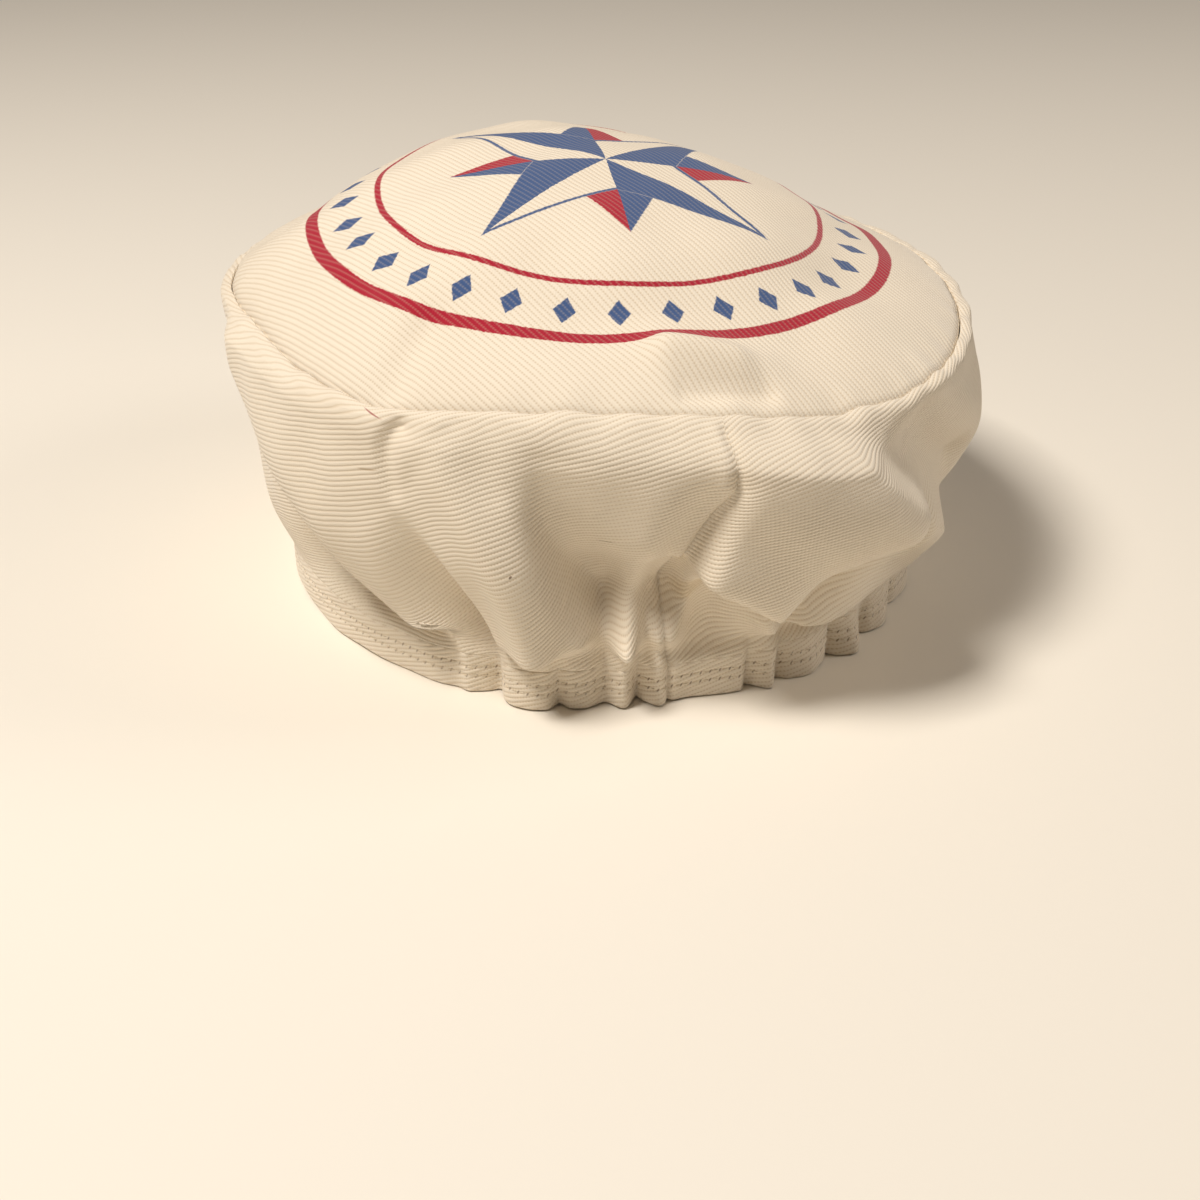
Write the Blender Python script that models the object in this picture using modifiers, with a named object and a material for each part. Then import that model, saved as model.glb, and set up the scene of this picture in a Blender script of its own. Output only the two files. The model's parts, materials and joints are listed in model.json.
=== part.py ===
"""Painter cap: a soft cotton drill cap with an oval crown, an elastic back and a stiff peak.

Metres, +Z up. The origin is the middle of the head opening, on the plane where the rim rests.
The peak points along +Y and the gathered back along -Y. An azimuth is measured in degrees
round the cap from the middle of the back, and grows towards +X.
"""
from collections import namedtuple
from math import pi

import bpy
import numpy as np

# Head opening, crown panel and side band
OPENING_HALF_WIDTH = 0.0945
OPENING_HALF_LENGTH = 0.100
CROWN_HALF_WIDTH = 0.100
CROWN_HALF_LENGTH = 0.1055
WALL_HEIGHT = 0.087
PUFF = 0.010
DOME_RISE = 0.0385
DOME_ASIDE = -0.16
DOME_AHEAD = 0.10

# Cloth, seams and hem
CLOTH_THICKNESS = 0.0014
HEM_THICKNESS = 0.0026
HEM_HEIGHT = 0.012
SEAM_LIP = 0.003
PIECE_GAP = 0.0003

# Folds of the side band, and the gathers that the elastic makes along the rim
FOLD_DEPTH = 0.014
FOLD_WIDTH = 0.020
RUFFLE_DEPTH = 0.0030
RUFFLE_HEIGHT = 0.028

# Peak
PEAK_HALF_ANGLE = 58.0
PEAK_DEPTH = 0.058
PEAK_FLARE = 0.004
PEAK_THICKNESS = 0.003
PEAK_ARCH_SHARE = 0.75
PEAK_DROP_SHARE = 0.35

# Columns of the soft pieces: fine across the gathered back, coarse round the rest
FINE_FROM, FINE_TO = -34.0, 62.0
FINE_STEP = 1.25
COARSE_STEP = 6.0
SEAM_ROLL = 2 * CLOTH_THICKNESS + PIECE_GAP
ARC_PER_DEGREE = (CROWN_HALF_WIDTH + CROWN_HALF_LENGTH) / 2 * pi / 180

# One row for each section of the side band. seam: reach of the crown's edge, a share of the crown's
# oval. shoulder: puff beyond the seam. belly: puff beyond the line from the shoulder to the opening.
# tuck: puff beyond the opening. Each of these is a share of PUFF, and each _at is the height of
# its ring, a share of WALL_HEIGHT. dome: how the crown falls to the seam, below 1 for a full shoulder.
Section = namedtuple("Section", "azimuth seam seam_at shoulder shoulder_at belly belly_at tuck tuck_at dome")
SECTIONS = (
    Section(-160, 0.99, 0.97, 0.10, 0.88, 0.30, 0.60, 0.10, 0.26, 0.95),
    Section(-125, 1.03, 0.97, 0.05, 0.90, 0.20, 0.62, 0.20, 0.28, 0.85),
    Section(-95, 1.05, 0.98, 0.00, 0.92, 0.05, 0.64, 0.50, 0.30, 0.72),
    Section(-75, 1.01, 0.98, -0.05, 0.92, 0.00, 0.64, 0.50, 0.32, 0.75),
    Section(-58, 1.02, 0.96, 0.10, 0.89, -0.05, 0.60, -0.35, 0.30, 0.81),
    Section(-42, 1.03, 0.95, 0.10, 0.86, 0.15, 0.56, -0.35, 0.28, 0.85),
    Section(-25, 0.99, 0.98, 0.30, 0.86, 0.40, 0.54, -0.10, 0.24, 0.89),
    Section(-8, 0.97, 0.98, 0.60, 0.84, 0.10, 0.54, -0.10, 0.24, 0.93),
    Section(8, 1.00, 0.965, 0.50, 0.83, 0.10, 0.54, -0.10, 0.24, 0.96),
    Section(22, 1.03, 0.93, 0.35, 0.80, 0.15, 0.56, -0.15, 0.24, 1.00),
    Section(38, 1.06, 0.925, 0.05, 0.84, 0.25, 0.58, -0.15, 0.24, 1.01),
    Section(56, 1.04, 0.935, 0.10, 0.87, 0.85, 0.58, 0.00, 0.26, 0.98),
    Section(76, 1.00, 0.95, 0.15, 0.90, 0.65, 0.62, 0.20, 0.28, 0.90),
    Section(95, 0.965, 0.96, 0.20, 0.91, 0.40, 0.64, 0.20, 0.30, 1.00),
    Section(125, 0.95, 0.95, 0.15, 0.89, 0.30, 0.62, 0.15, 0.28, 1.24),
    Section(160, 0.98, 0.96, 0.10, 0.88, 0.30, 0.60, 0.10, 0.26, 1.05),
)

# One row for each fold of the side band. start, middle and end: points that its crest or valley
# passes, as an azimuth and a share of WALL_HEIGHT. depth_start and depth_end: push outwards, a share
# of FOLD_DEPTH. left and right: how wide it fades on each side of its way, a share of FOLD_WIDTH.
# power: 2 for a round fold, more for a flat-bottomed one. lean: how far it hangs over its right side.
Fold = namedtuple("Fold", "start middle end depth_start depth_end left right power lean")
FOLDS = (
    Fold((-78, 0.84), (-49, 0.44), (-30, 0.10), 0.40, 0.90, 1.00, 0.12, 2, 0.3),
    Fold((-40, 0.64), (-31.5, 0.38), (-27.5, 0.10), -0.10, -1.40, 0.20, 0.42, 2, 0.0),
    Fold((-33, 0.84), (-23, 0.52), (-19, 0.16), 0.20, 0.80, 0.40, 0.34, 2, 0.0),
    Fold((-18, 0.84), (-16, 0.56), (-10.5, 0.34), -0.10, -1.20, 0.75, 0.24, 2, 0.0),
    Fold((-10, 0.34), (-9.8, 0.24), (-9.8, 0.12), -0.20, -0.90, 0.18, 0.18, 2, 0.0),
    Fold((-5, 0.40), (-6, 0.28), (-6.4, 0.16), 0.20, 0.80, 0.22, 0.22, 2, 0.0),
    Fold((-3.4, 0.28), (-3.6, 0.20), (-3.8, 0.10), -0.10, -0.70, 0.14, 0.14, 2, 0.0),
    Fold((6.5, 0.80), (3.2, 0.60), (0.4, 0.36), -0.20, -0.90, 0.16, 0.44, 2, 0.0),
    Fold((10, 0.84), (17, 0.68), (30, 0.52), 0.50, 0.65, 0.85, 0.75, 2, 0.0),
    Fold((-1, 0.55), (7, 0.50), (18, 0.36), 0.20, 0.75, 0.55, 0.14, 2, 0.3),
    Fold((5.5, 0.38), (6, 0.24), (6, 0.10), -0.45, -0.20, 0.34, 0.34, 3, 0.0),
    Fold((15.5, 0.30), (16.5, 0.23), (17, 0.16), 0.60, 0.55, 0.25, 0.25, 2, 0.0),
    Fold((19.5, 0.34), (27, 0.45), (40, 0.52), -0.90, -0.50, 0.28, 0.34, 2, 0.0),
    Fold((22, 0.27), (31, 0.26), (46, 0.27), 0.75, 0.35, 0.42, 0.22, 2, 0.2),
    Fold((20, 0.92), (31, 0.69), (57, 0.34), 0.40, 0.65, 0.18, 0.70, 2, 0.3),
    Fold((37, 0.76), (45, 0.65), (54, 0.55), -0.35, -0.55, 0.50, 0.45, 2, 0.0),
)

# One row for each gather at the rim. left and right are its half widths in degrees, depth is a share
# of RUFFLE_DEPTH outwards, and top is the height where it fades out, a share of RUFFLE_HEIGHT.
Ruffle = namedtuple("Ruffle", "azimuth left right depth top")
RUFFLES = (
    Ruffle(-27.2, 1.6, 0.7, -0.7, 0.9),
    Ruffle(-22.0, 3.8, 3.2, 0.6, 0.8),
    Ruffle(-17.2, 0.7, 1.4, -1.0, 0.9),
    Ruffle(-11.0, 3.5, 4.0, 0.4, 0.8),
    Ruffle(-4.6, 1.3, 0.7, -1.2, 1.1),
    Ruffle(-1.8, 1.6, 1.4, 0.3, 0.8),
    Ruffle(14.2, 0.7, 1.8, -1.1, 1.0),
    Ruffle(17.6, 0.9, 1.0, 0.5, 0.8),
    Ruffle(20.2, 0.9, 0.8, -0.8, 0.9),
    Ruffle(26.0, 4.0, 3.6, 0.9, 0.8),
    Ruffle(31.6, 0.9, 0.8, -1.1, 0.8),
    Ruffle(35.8, 2.4, 2.6, 1.2, 0.8),
    Ruffle(40.8, 1.4, 1.0, -0.8, 0.8),
    Ruffle(46.0, 2.8, 3.0, 0.7, 0.8),
    Ruffle(51.6, 1.2, 1.6, -0.7, 0.8),
    Ruffle(58.0, 3.0, 3.0, 0.4, 0.8),
)

# One row for each hollow or ridge of the crown panel, along the line from start to end, whose
# points are shares of the crown's half width and half length. rise is a share of DOME_RISE and
# width a share of the crown's half width.
Dent = namedtuple("Dent", "start end rise width")
DENTS = (
    Dent((-0.45, -0.72), (0.35, -0.74), -0.12, 0.16),
    Dent((-0.92, 0.25), (-0.55, 0.62), -0.30, 0.18),
    Dent((0.62, -0.45), (0.80, 0.10), -0.12, 0.22),
    Dent((0.02, -0.84), (0.26, -0.85), 0.09, 0.06),
)

# The folds fade in over this share of the wall below the seam, and this share of them is left
# where the elastic of the hem holds the cloth, up to this height above the hem
CALM_ABOVE = 0.22
HEM_HOLD = 0.25
HOLD_HEIGHT = 0.012

# Rows of the side band from the roll at the seam to the top of the hem, and of the crown panel
# from its middle to its edge, as shares of the way
WALL_ROWS = (0.0, 0.2, 0.3, 0.4, 0.5, 0.6, 0.7, 0.8, 0.9, 1.0)
CROWN_ROWS = (0.14, 0.34, 0.54, 0.72, 0.86, 0.95, 1.0)
PEAK_COLUMNS = 30
PEAK_ROWS = 5


def columns():
    """The azimuths of the columns, once round the cap."""
    fine = np.arange(FINE_FROM, FINE_TO, FINE_STEP)
    rest = 360 - (FINE_TO - FINE_FROM)
    coarse = FINE_TO + rest * np.arange(round(rest / COARSE_STEP)) / round(rest / COARSE_STEP)
    return np.concatenate([fine, coarse])


def oval(azimuth, half_width, half_length):
    """Points of an oval round the origin, in plan."""
    turn = np.radians(azimuth)
    return np.stack([half_width * np.sin(turn), -half_length * np.cos(turn)], -1)


def outward(azimuth):
    """Plan directions square to the head opening's oval."""
    side = oval(azimuth, 1 / OPENING_HALF_WIDTH, 1 / OPENING_HALF_LENGTH)
    return side / np.linalg.norm(side, axis=-1, keepdims=True)


def section_at(azimuth):
    """The columns of SECTIONS at these azimuths, on a smooth curve that closes on itself."""
    rows = np.array(SECTIONS, float)
    knots = np.concatenate([rows[-2:, 0] - 360, rows[:, 0], rows[:2, 0] + 360])
    values = np.concatenate([rows[-2:, 1:], rows[:, 1:], rows[:2, 1:]])
    at = np.mod(azimuth - rows[0, 0], 360) + rows[0, 0]
    i = np.searchsorted(knots, at, side="right") - 1
    step = (knots[i + 1] - knots[i])[:, None]
    t = (at - knots[i])[:, None] / step
    slope_0 = step * (values[i + 1] - values[i - 1]) / (knots[i + 1] - knots[i - 1])[:, None]
    slope_1 = step * (values[i + 2] - values[i]) / (knots[i + 2] - knots[i])[:, None]
    blend = t * t * (3 - 2 * t)
    return ((1 - blend) * values[i] + blend * values[i + 1]
            + t * (1 - t) ** 2 * slope_0 - t * t * (1 - t) * slope_1)


def seam_line(azimuth):
    """The seam between the crown panel and the side band."""
    row = Section(None, *section_at(azimuth).T)
    plan = oval(azimuth, CROWN_HALF_WIDTH, CROWN_HALF_LENGTH) * row.seam[:, None]
    return np.column_stack([plan, row.seam_at * WALL_HEIGHT])


def wall_rings(azimuth):
    """Guide rings of the side band from the seam's roll down to the rim, (ring, column, xyz)."""
    row = Section(None, *section_at(azimuth).T)
    seam = seam_line(azimuth)
    side = outward(azimuth)
    opening = oval(azimuth, OPENING_HALF_WIDTH, OPENING_HALF_LENGTH)

    def ring(plan, beyond, height):
        height = np.broadcast_to(height, azimuth.shape)
        return np.column_stack([plan + side * np.reshape(beyond, (-1, 1)), height])

    roll = ring(seam[:, :2], np.full(len(azimuth), SEAM_ROLL), seam[:, 2])
    shoulder = ring(seam[:, :2], SEAM_ROLL + row.shoulder * PUFF, row.shoulder_at * WALL_HEIGHT)
    down = (row.belly_at / row.shoulder_at)[:, None]
    middle = shoulder[:, :2] * down + opening * (1 - down)
    belly = ring(middle, row.belly * PUFF, row.belly_at * WALL_HEIGHT)
    tuck = ring(opening, row.tuck * PUFF, row.tuck_at * WALL_HEIGHT)
    hem = ring(opening, np.zeros(len(azimuth)), HEM_HEIGHT)
    return np.stack([roll, shoulder, belly, tuck, hem])


def along(rings, share):
    """Points at shares of the way along a smooth curve through the rings, (row, column, xyz)."""
    place = np.clip(share, 0, 1) * (len(rings) - 1)
    i = np.minimum(place.astype(int), len(rings) - 2)
    t = (place - i)[:, None, None]
    ends = np.concatenate([2 * rings[:1] - rings[1:2], rings, 2 * rings[-1:] - rings[-2:-1]])
    before, here, there, after = (ends[i + k] for k in range(4))
    return 0.5 * (2 * here + (there - before) * t
                  + (2 * before - 5 * here + 4 * there - after) * t ** 2
                  + (3 * here - before - 3 * there + after) * t ** 3)


def fold_push(azimuth, height):
    """What the folds add: push outwards, and lean along the azimuth and up the wall, in metres."""
    push, lean_along, lean_up = (np.zeros(azimuth.shape) for _ in range(3))
    t = np.linspace(0, 1, 13)[:, None]
    for fold in FOLDS:
        start, middle, end = (np.array(point) for point in fold[:3])
        way = (1 - t) * (1 - 2 * t) * start + 4 * t * (1 - t) * middle + t * (2 * t - 1) * end
        way = way * (ARC_PER_DEGREE, WALL_HEIGHT)
        near = np.mod(azimuth - middle[0] + 180, 360) - 180 + middle[0]
        place = np.stack([near * ARC_PER_DEGREE, height], -1)
        nearest = np.full(azimuth.shape, np.inf)
        width, reached = np.ones(azimuth.shape), np.zeros(azimuth.shape)
        across = np.zeros(place.shape)
        for k, (here, there) in enumerate(zip(way[:-1], way[1:])):
            step = there - here
            share = np.clip((place - here) @ step / (step @ step), 0, 1)
            off = place - here - share[..., None] * step
            distance = np.linalg.norm(off, axis=-1)
            closer = distance < nearest
            nearest = np.where(closer, distance, nearest)
            is_left = step[0] * off[..., 1] - step[1] * off[..., 0] > 0
            width = np.where(closer, np.where(is_left, fold.left, fold.right), width)
            reached = np.where(closer, (k + share) / (len(way) - 1), reached)
            to_right = np.array([step[1], -step[0]]) / np.linalg.norm(step)
            across = np.where(closer[..., None], to_right, across)
        depth = fold.depth_start + (fold.depth_end - fold.depth_start) * reached
        shape = np.exp(-(nearest / (width * FOLD_WIDTH)) ** fold.power) * depth * FOLD_DEPTH
        push += shape
        lean_along += fold.lean * shape * across[..., 0]
        lean_up += fold.lean * shape * across[..., 1]
    return push, lean_along, lean_up


def ruffle_push(azimuth, height):
    """How far the gathers at the rim push the cloth outwards, in metres."""
    push = np.zeros(azimuth.shape)
    for ruffle in RUFFLES:
        aside = np.mod(azimuth - ruffle.azimuth + 180, 360) - 180
        up = np.clip(height / (ruffle.top * RUFFLE_HEIGHT), 0, 1)
        fade = 1 - up * up * (3 - 2 * up)
        half_width = np.where(aside < 0, ruffle.left, ruffle.right)
        push += ruffle.depth * RUFFLE_DEPTH * np.exp(-(aside / half_width) ** 2) * fade
    return push


def folded(azimuth):
    """Side band (row, column, xyz), with its folds and gathers added square to the plain wall."""
    points = along(wall_rings(azimuth), np.array(WALL_ROWS))
    around = np.roll(points, -1, axis=1) - np.roll(points, 1, axis=1)
    down = np.gradient(points, axis=0)
    normal = np.cross(down, around)
    normal /= np.linalg.norm(normal, axis=-1, keepdims=True)
    around /= np.linalg.norm(around, axis=-1, keepdims=True)
    up = -down / np.linalg.norm(down, axis=-1, keepdims=True)
    azimuth = np.broadcast_to(azimuth, points.shape[:2])
    push, lean_along, lean_up = fold_push(azimuth, points[..., 2])
    calm = np.clip(np.array(WALL_ROWS) / CALM_ABOVE, 0, 1)[:, None]
    free = np.clip((points[..., 2] - HEM_HEIGHT) / HOLD_HEIGHT, 0, 1)
    free = calm * free * free * (3 - 2 * free)
    push = push * calm * (HEM_HOLD + (1 - HEM_HOLD) * free)
    lean_along, lean_up = lean_along * free, lean_up * free
    push = push + ruffle_push(azimuth, points[..., 2])
    return points + normal * push[..., None] + around * lean_along[..., None] + up * lean_up[..., None]


def side_band_points(azimuth):
    """Outer face of the side band, from the lip inside the seam down to the top of the hem."""
    seam = seam_line(azimuth)
    seam[:, :2] += outward(azimuth) * PIECE_GAP
    lip = seam - (0, 0, SEAM_LIP)
    return np.concatenate([[lip, seam], folded(azimuth)])


def crown_points(azimuth):
    """Outer face of the crown panel, from round its middle to the lip inside the seam, and its pole."""
    seam = seam_line(azimuth)
    share = np.array(CROWN_ROWS)[:, None]
    middle = np.array([DOME_ASIDE * CROWN_HALF_WIDTH, DOME_AHEAD * CROWN_HALF_LENGTH])
    level = seam[:, 2].mean()
    plan = middle * (1 - share[..., None]) + seam[:, :2] * share[..., None]
    fullness = Section(None, *section_at(azimuth).T).dome
    height = level + (seam[:, 2] - level) * share ** 2 + DOME_RISE * (1 - share ** 2) ** fullness
    fade = np.clip((1 - share) / (1 - CROWN_ROWS[-3]), 0, 1)
    for dent in DENTS:
        start, end = (np.array(p) * (CROWN_HALF_WIDTH, CROWN_HALF_LENGTH) for p in (dent.start, dent.end))
        step = end - start
        t = np.clip((plan - start) @ step / (step @ step), 0, 1)
        off = np.linalg.norm(plan - start - t[..., None] * step, axis=-1)
        height = height + dent.rise * DOME_RISE * fade * np.exp(-(off / (dent.width * CROWN_HALF_WIDTH)) ** 2)
    panel = np.concatenate([plan, height[..., None]], -1)
    return np.concatenate([panel, [seam - (0, 0, SEAM_LIP)]]), np.append(middle, level + DOME_RISE)


def hem_points(azimuth):
    """Section of the hem in each column, once round: outer top, outer foot, inner foot, inner top."""
    top = folded(azimuth)[-1, :, :2]
    at_foot, at_top = (ruffle_push(azimuth, height) for height in (0.0, HEM_HEIGHT))
    foot = top + outward(azimuth) * (at_foot - at_top)[:, None]
    inward = -outward(azimuth) * HEM_THICKNESS
    rows = ((top, HEM_HEIGHT), (foot, 0.0), (foot + inward, 0.0), (top + inward, HEM_HEIGHT))
    return np.stack([np.column_stack([plan, np.full(len(azimuth), height)]) for plan, height in rows])


def peak_points():
    """Upper face of the peak before it is arched, from the hem out to its front edge."""
    t = np.linspace(1, -1, PEAK_COLUMNS + 1)
    azimuth = 180 - t * PEAK_HALF_ANGLE
    root = oval(azimuth, OPENING_HALF_WIDTH, OPENING_HALF_LENGTH) + PIECE_GAP * outward(azimuth)
    corner_x, corner_y = root[0]
    ahead = OPENING_HALF_LENGTH + PEAK_DEPTH - corner_y
    turn = t * pi / 2
    front = np.column_stack([(corner_x + PEAK_FLARE) * np.sin(turn), corner_y + ahead * np.cos(turn)])
    share = np.linspace(0, 1, PEAK_ROWS + 1)[:, None, None]
    plan = root * (1 - share) + front * share
    return np.concatenate([plan, np.full((*plan.shape[:2], 1), PEAK_THICKNESS)], -1)


def arch_peak(item):
    """Lift the flat peak into its arch: highest in the middle of the hem, down on its corners."""
    reach_x = max(vertex.co.x for vertex in item.data.vertices)
    back_y = min(vertex.co.y for vertex in item.data.vertices)
    front_y = OPENING_HALF_LENGTH + PEAK_DEPTH
    for vertex in item.data.vertices:
        across = (vertex.co.x / reach_x) ** 2
        ahead = (vertex.co.y - back_y) / (front_y - back_y)
        arch = PEAK_ARCH_SHARE * (HEM_HEIGHT - PEAK_THICKNESS)
        vertex.co.z += arch * (1 - across) * (1 - PEAK_DROP_SHARE * ahead ** 2)


def drill(name, colour, roughness):
    """A matt finish of bleached cotton drill."""
    material = bpy.data.materials.new(name)
    material.use_nodes = True
    shader = material.node_tree.nodes["Principled BSDF"]
    shader.inputs["Base Color"].default_value = (*colour, 1)
    shader.inputs["Roughness"].default_value = roughness
    shader.inputs["Metallic"].default_value = 0.0
    return material


def grid(name, rows, material, closed, pole=None, ring=False):
    """An object whose faces join neighbouring points of the rows; a pole closes the first row."""
    count, width = rows.shape[:2]
    vertices = [tuple(point) for point in rows.reshape(-1, 3)]
    faces = []
    for row in range(count if ring else count - 1):
        below = (row + 1) % count
        for column in range(width if closed else width - 1):
            beside = (column + 1) % width
            faces.append((row * width + column, below * width + column,
                          below * width + beside, row * width + beside))
    if pole is not None:
        vertices.append(tuple(pole))
        faces += [(len(vertices) - 1, column, (column + 1) % width) for column in range(width)]
    mesh = bpy.data.meshes.new(name)
    mesh.from_pydata(vertices, [], faces)
    mesh.shade_smooth()
    mesh.materials.append(material)
    item = bpy.data.objects.new(name, mesh)
    cap.objects.link(item)
    return item


def give_wall(item, thickness, lowest):
    """Give an open surface its wall, on the inner side, and level its lower edge."""
    solid = item.modifiers.new("wall", "SOLIDIFY")
    solid.thickness = thickness
    solid.offset = -1
    evaluated = item.evaluated_get(bpy.context.evaluated_depsgraph_get())
    mesh = bpy.data.meshes.new_from_object(evaluated)
    for vertex in mesh.vertices:
        vertex.co.z = max(vertex.co.z, lowest)
    item.modifiers.clear()
    item.data = mesh


def main():
    azimuth = columns()
    crown_rows, pole = crown_points(azimuth)
    crown = grid("crown_top", crown_rows, drill("crown_drill", (0.80, 0.76, 0.66), 0.9), True, pole)
    give_wall(crown, CLOTH_THICKNESS, 0.0)
    band = grid("side_band", side_band_points(azimuth), drill("side_drill", (0.78, 0.73, 0.62), 0.9), True)
    give_wall(band, CLOTH_THICKNESS, HEM_HEIGHT + PIECE_GAP)
    grid("rim_hem", hem_points(azimuth), drill("hem_drill", (0.76, 0.71, 0.60), 0.9), True, ring=True)
    peak = grid("peak", peak_points(), drill("peak_drill", (0.79, 0.75, 0.65), 0.85), False)
    give_wall(peak, PEAK_THICKNESS, 0.0)
    arch_peak(peak)


for leftover in list(bpy.data.objects):
    bpy.data.objects.remove(leftover)
cap = bpy.data.collections.new("painter_cap")
bpy.context.scene.collection.children.link(cap)
main()
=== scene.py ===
# %% [markdown]
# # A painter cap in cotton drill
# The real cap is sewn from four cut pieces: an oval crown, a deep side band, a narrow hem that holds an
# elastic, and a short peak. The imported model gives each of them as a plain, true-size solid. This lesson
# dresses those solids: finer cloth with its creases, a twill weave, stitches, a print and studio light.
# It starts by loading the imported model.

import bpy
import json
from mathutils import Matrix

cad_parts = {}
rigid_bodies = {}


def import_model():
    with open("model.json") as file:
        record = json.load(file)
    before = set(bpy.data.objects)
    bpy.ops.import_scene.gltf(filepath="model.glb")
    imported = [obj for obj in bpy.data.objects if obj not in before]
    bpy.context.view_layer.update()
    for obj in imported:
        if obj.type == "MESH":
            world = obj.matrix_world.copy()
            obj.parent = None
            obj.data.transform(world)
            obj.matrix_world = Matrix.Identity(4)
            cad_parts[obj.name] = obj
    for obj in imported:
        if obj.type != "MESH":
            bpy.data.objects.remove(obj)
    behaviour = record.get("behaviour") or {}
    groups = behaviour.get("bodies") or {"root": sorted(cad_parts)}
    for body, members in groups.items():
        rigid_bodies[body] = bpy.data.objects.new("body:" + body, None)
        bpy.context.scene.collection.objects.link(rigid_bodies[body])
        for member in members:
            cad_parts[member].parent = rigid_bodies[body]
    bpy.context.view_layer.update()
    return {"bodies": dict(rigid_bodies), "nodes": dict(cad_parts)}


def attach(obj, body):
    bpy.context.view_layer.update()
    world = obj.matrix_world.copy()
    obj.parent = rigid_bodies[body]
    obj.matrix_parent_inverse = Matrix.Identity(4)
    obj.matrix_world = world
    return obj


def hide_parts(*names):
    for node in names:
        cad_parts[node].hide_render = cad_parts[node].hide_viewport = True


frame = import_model()
print("nodes:", sorted(frame["nodes"]))

# %% Modules and units
import json
from collections import namedtuple
from math import pi, radians

import bmesh
import bpy
import numpy as np
from mathutils import Vector

MM = 0.001
BODY = next(iter(frame["bodies"]))


def new_object(name, data):
    """An object with this data, at the scene's origin."""
    item = bpy.data.objects.new(name, data)
    bpy.context.scene.collection.objects.link(item)
    return item


print("everything rides on", BODY)

# %% [markdown]
# ## The camera
# The photo looks down at the gathered back of the cap, a little from its left. A perspective camera is a
# place, a direction and a lens. These were found by fitting the rim, the crown seam and the sides of the
# cap to the photo, so they are written as they are and nothing is worked out from the picture size.

# %% Camera
CAMERA_PLACE = Vector((-0.08385, -0.47609, 0.25319))
CAMERA_DIRECTION = Vector((0.1505, 0.8537, -0.4985))
CAMERA_LENS = 52.1
CAMERA_SENSOR = 36.0

camera_data = bpy.data.cameras.new("photo_camera")
camera_data.lens = CAMERA_LENS
camera_data.sensor_width = CAMERA_SENSOR
camera_data.clip_start = 0.01
camera = new_object("photo_camera", camera_data)
camera.location = CAMERA_PLACE
camera.rotation_euler = CAMERA_DIRECTION.to_track_quat("-Z", "Y").to_euler()
bpy.context.scene.camera = camera
print("camera", round(CAMERA_PLACE.length, 3), "m from the middle of the rim")

# %% [markdown]
# ## Colours
# Colours are picked as sRGB hex values, as in any paint program, but the shader works in linear light.
# One function turns the one into the other, so every colour below can be read and compared by eye.


# %% Colour helper
def linear(hex_colour):
    """An sRGB hex colour, such as F2EAD3, as linear RGBA."""
    parts = [int(hex_colour[i:i + 2], 16) / 255 for i in (0, 2, 4)]
    return (*((p / 12.92 if p <= 0.04045 else ((p + 0.055) / 1.055) ** 2.4) for p in parts), 1.0)


CLOTH_COLOUR = linear("EEE3D0")
# Painted shade of the weave's valleys and pinholes; the thread's twist also uses it as its darker tone
VALLEY_SHADE_AND_TWIST_TONE = linear("B99E76")
THREAD_COLOUR = linear("F7F0DF")
INK_RED = linear("A9102C")
INK_BLUE = linear("3C5684")
print("cloth, linear:", [round(x, 3) for x in CLOTH_COLOUR[:3]])

# %% [markdown]
# ## The form of the cap
# A soft cap could be sculpted, draped by a simulation, or worked out from sections. Here it is worked out
# from the same named sizes and short tables as the solids, so that the fine cloth lies on them exactly.
# Directions round the cap are azimuths: 0 is the middle of the back, and they grow towards +X.

# %% Sizes of the cap
OPENING_HALF_WIDTH = 0.0945
OPENING_HALF_LENGTH = 0.100
CROWN_HALF_WIDTH = 0.100
CROWN_HALF_LENGTH = 0.1055
WALL_HEIGHT = 0.087
PUFF = 0.010
DOME_RISE = 0.0385
DOME_ASIDE = -0.16
DOME_AHEAD = 0.10
CLOTH_THICKNESS = 0.0014
HEM_THICKNESS = 0.0026
HEM_HEIGHT = 0.012
SEAM_LIP = 0.003
PIECE_GAP = 0.0003
FOLD_DEPTH = 0.014
FOLD_WIDTH = 0.020
RUFFLE_DEPTH = 0.0030
RUFFLE_HEIGHT = 0.028
SEAM_ROLL = 2 * CLOTH_THICKNESS + PIECE_GAP
ARC_PER_DEGREE = (CROWN_HALF_WIDTH + CROWN_HALF_LENGTH) / 2 * pi / 180
CALM_ABOVE = 0.22
HEM_HOLD = 0.25
HOLD_HEIGHT = 0.012
LEAN_HOLD = 2.6
print(f"one degree of the band is {ARC_PER_DEGREE / MM:.2f} mm long")

# %% [markdown]
# The side band is described by sections, like the frames of a boat. Each row is one azimuth. It says how
# far the crown's edge reaches and how much the cloth puffs out below it, as shares of the named sizes.

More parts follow.
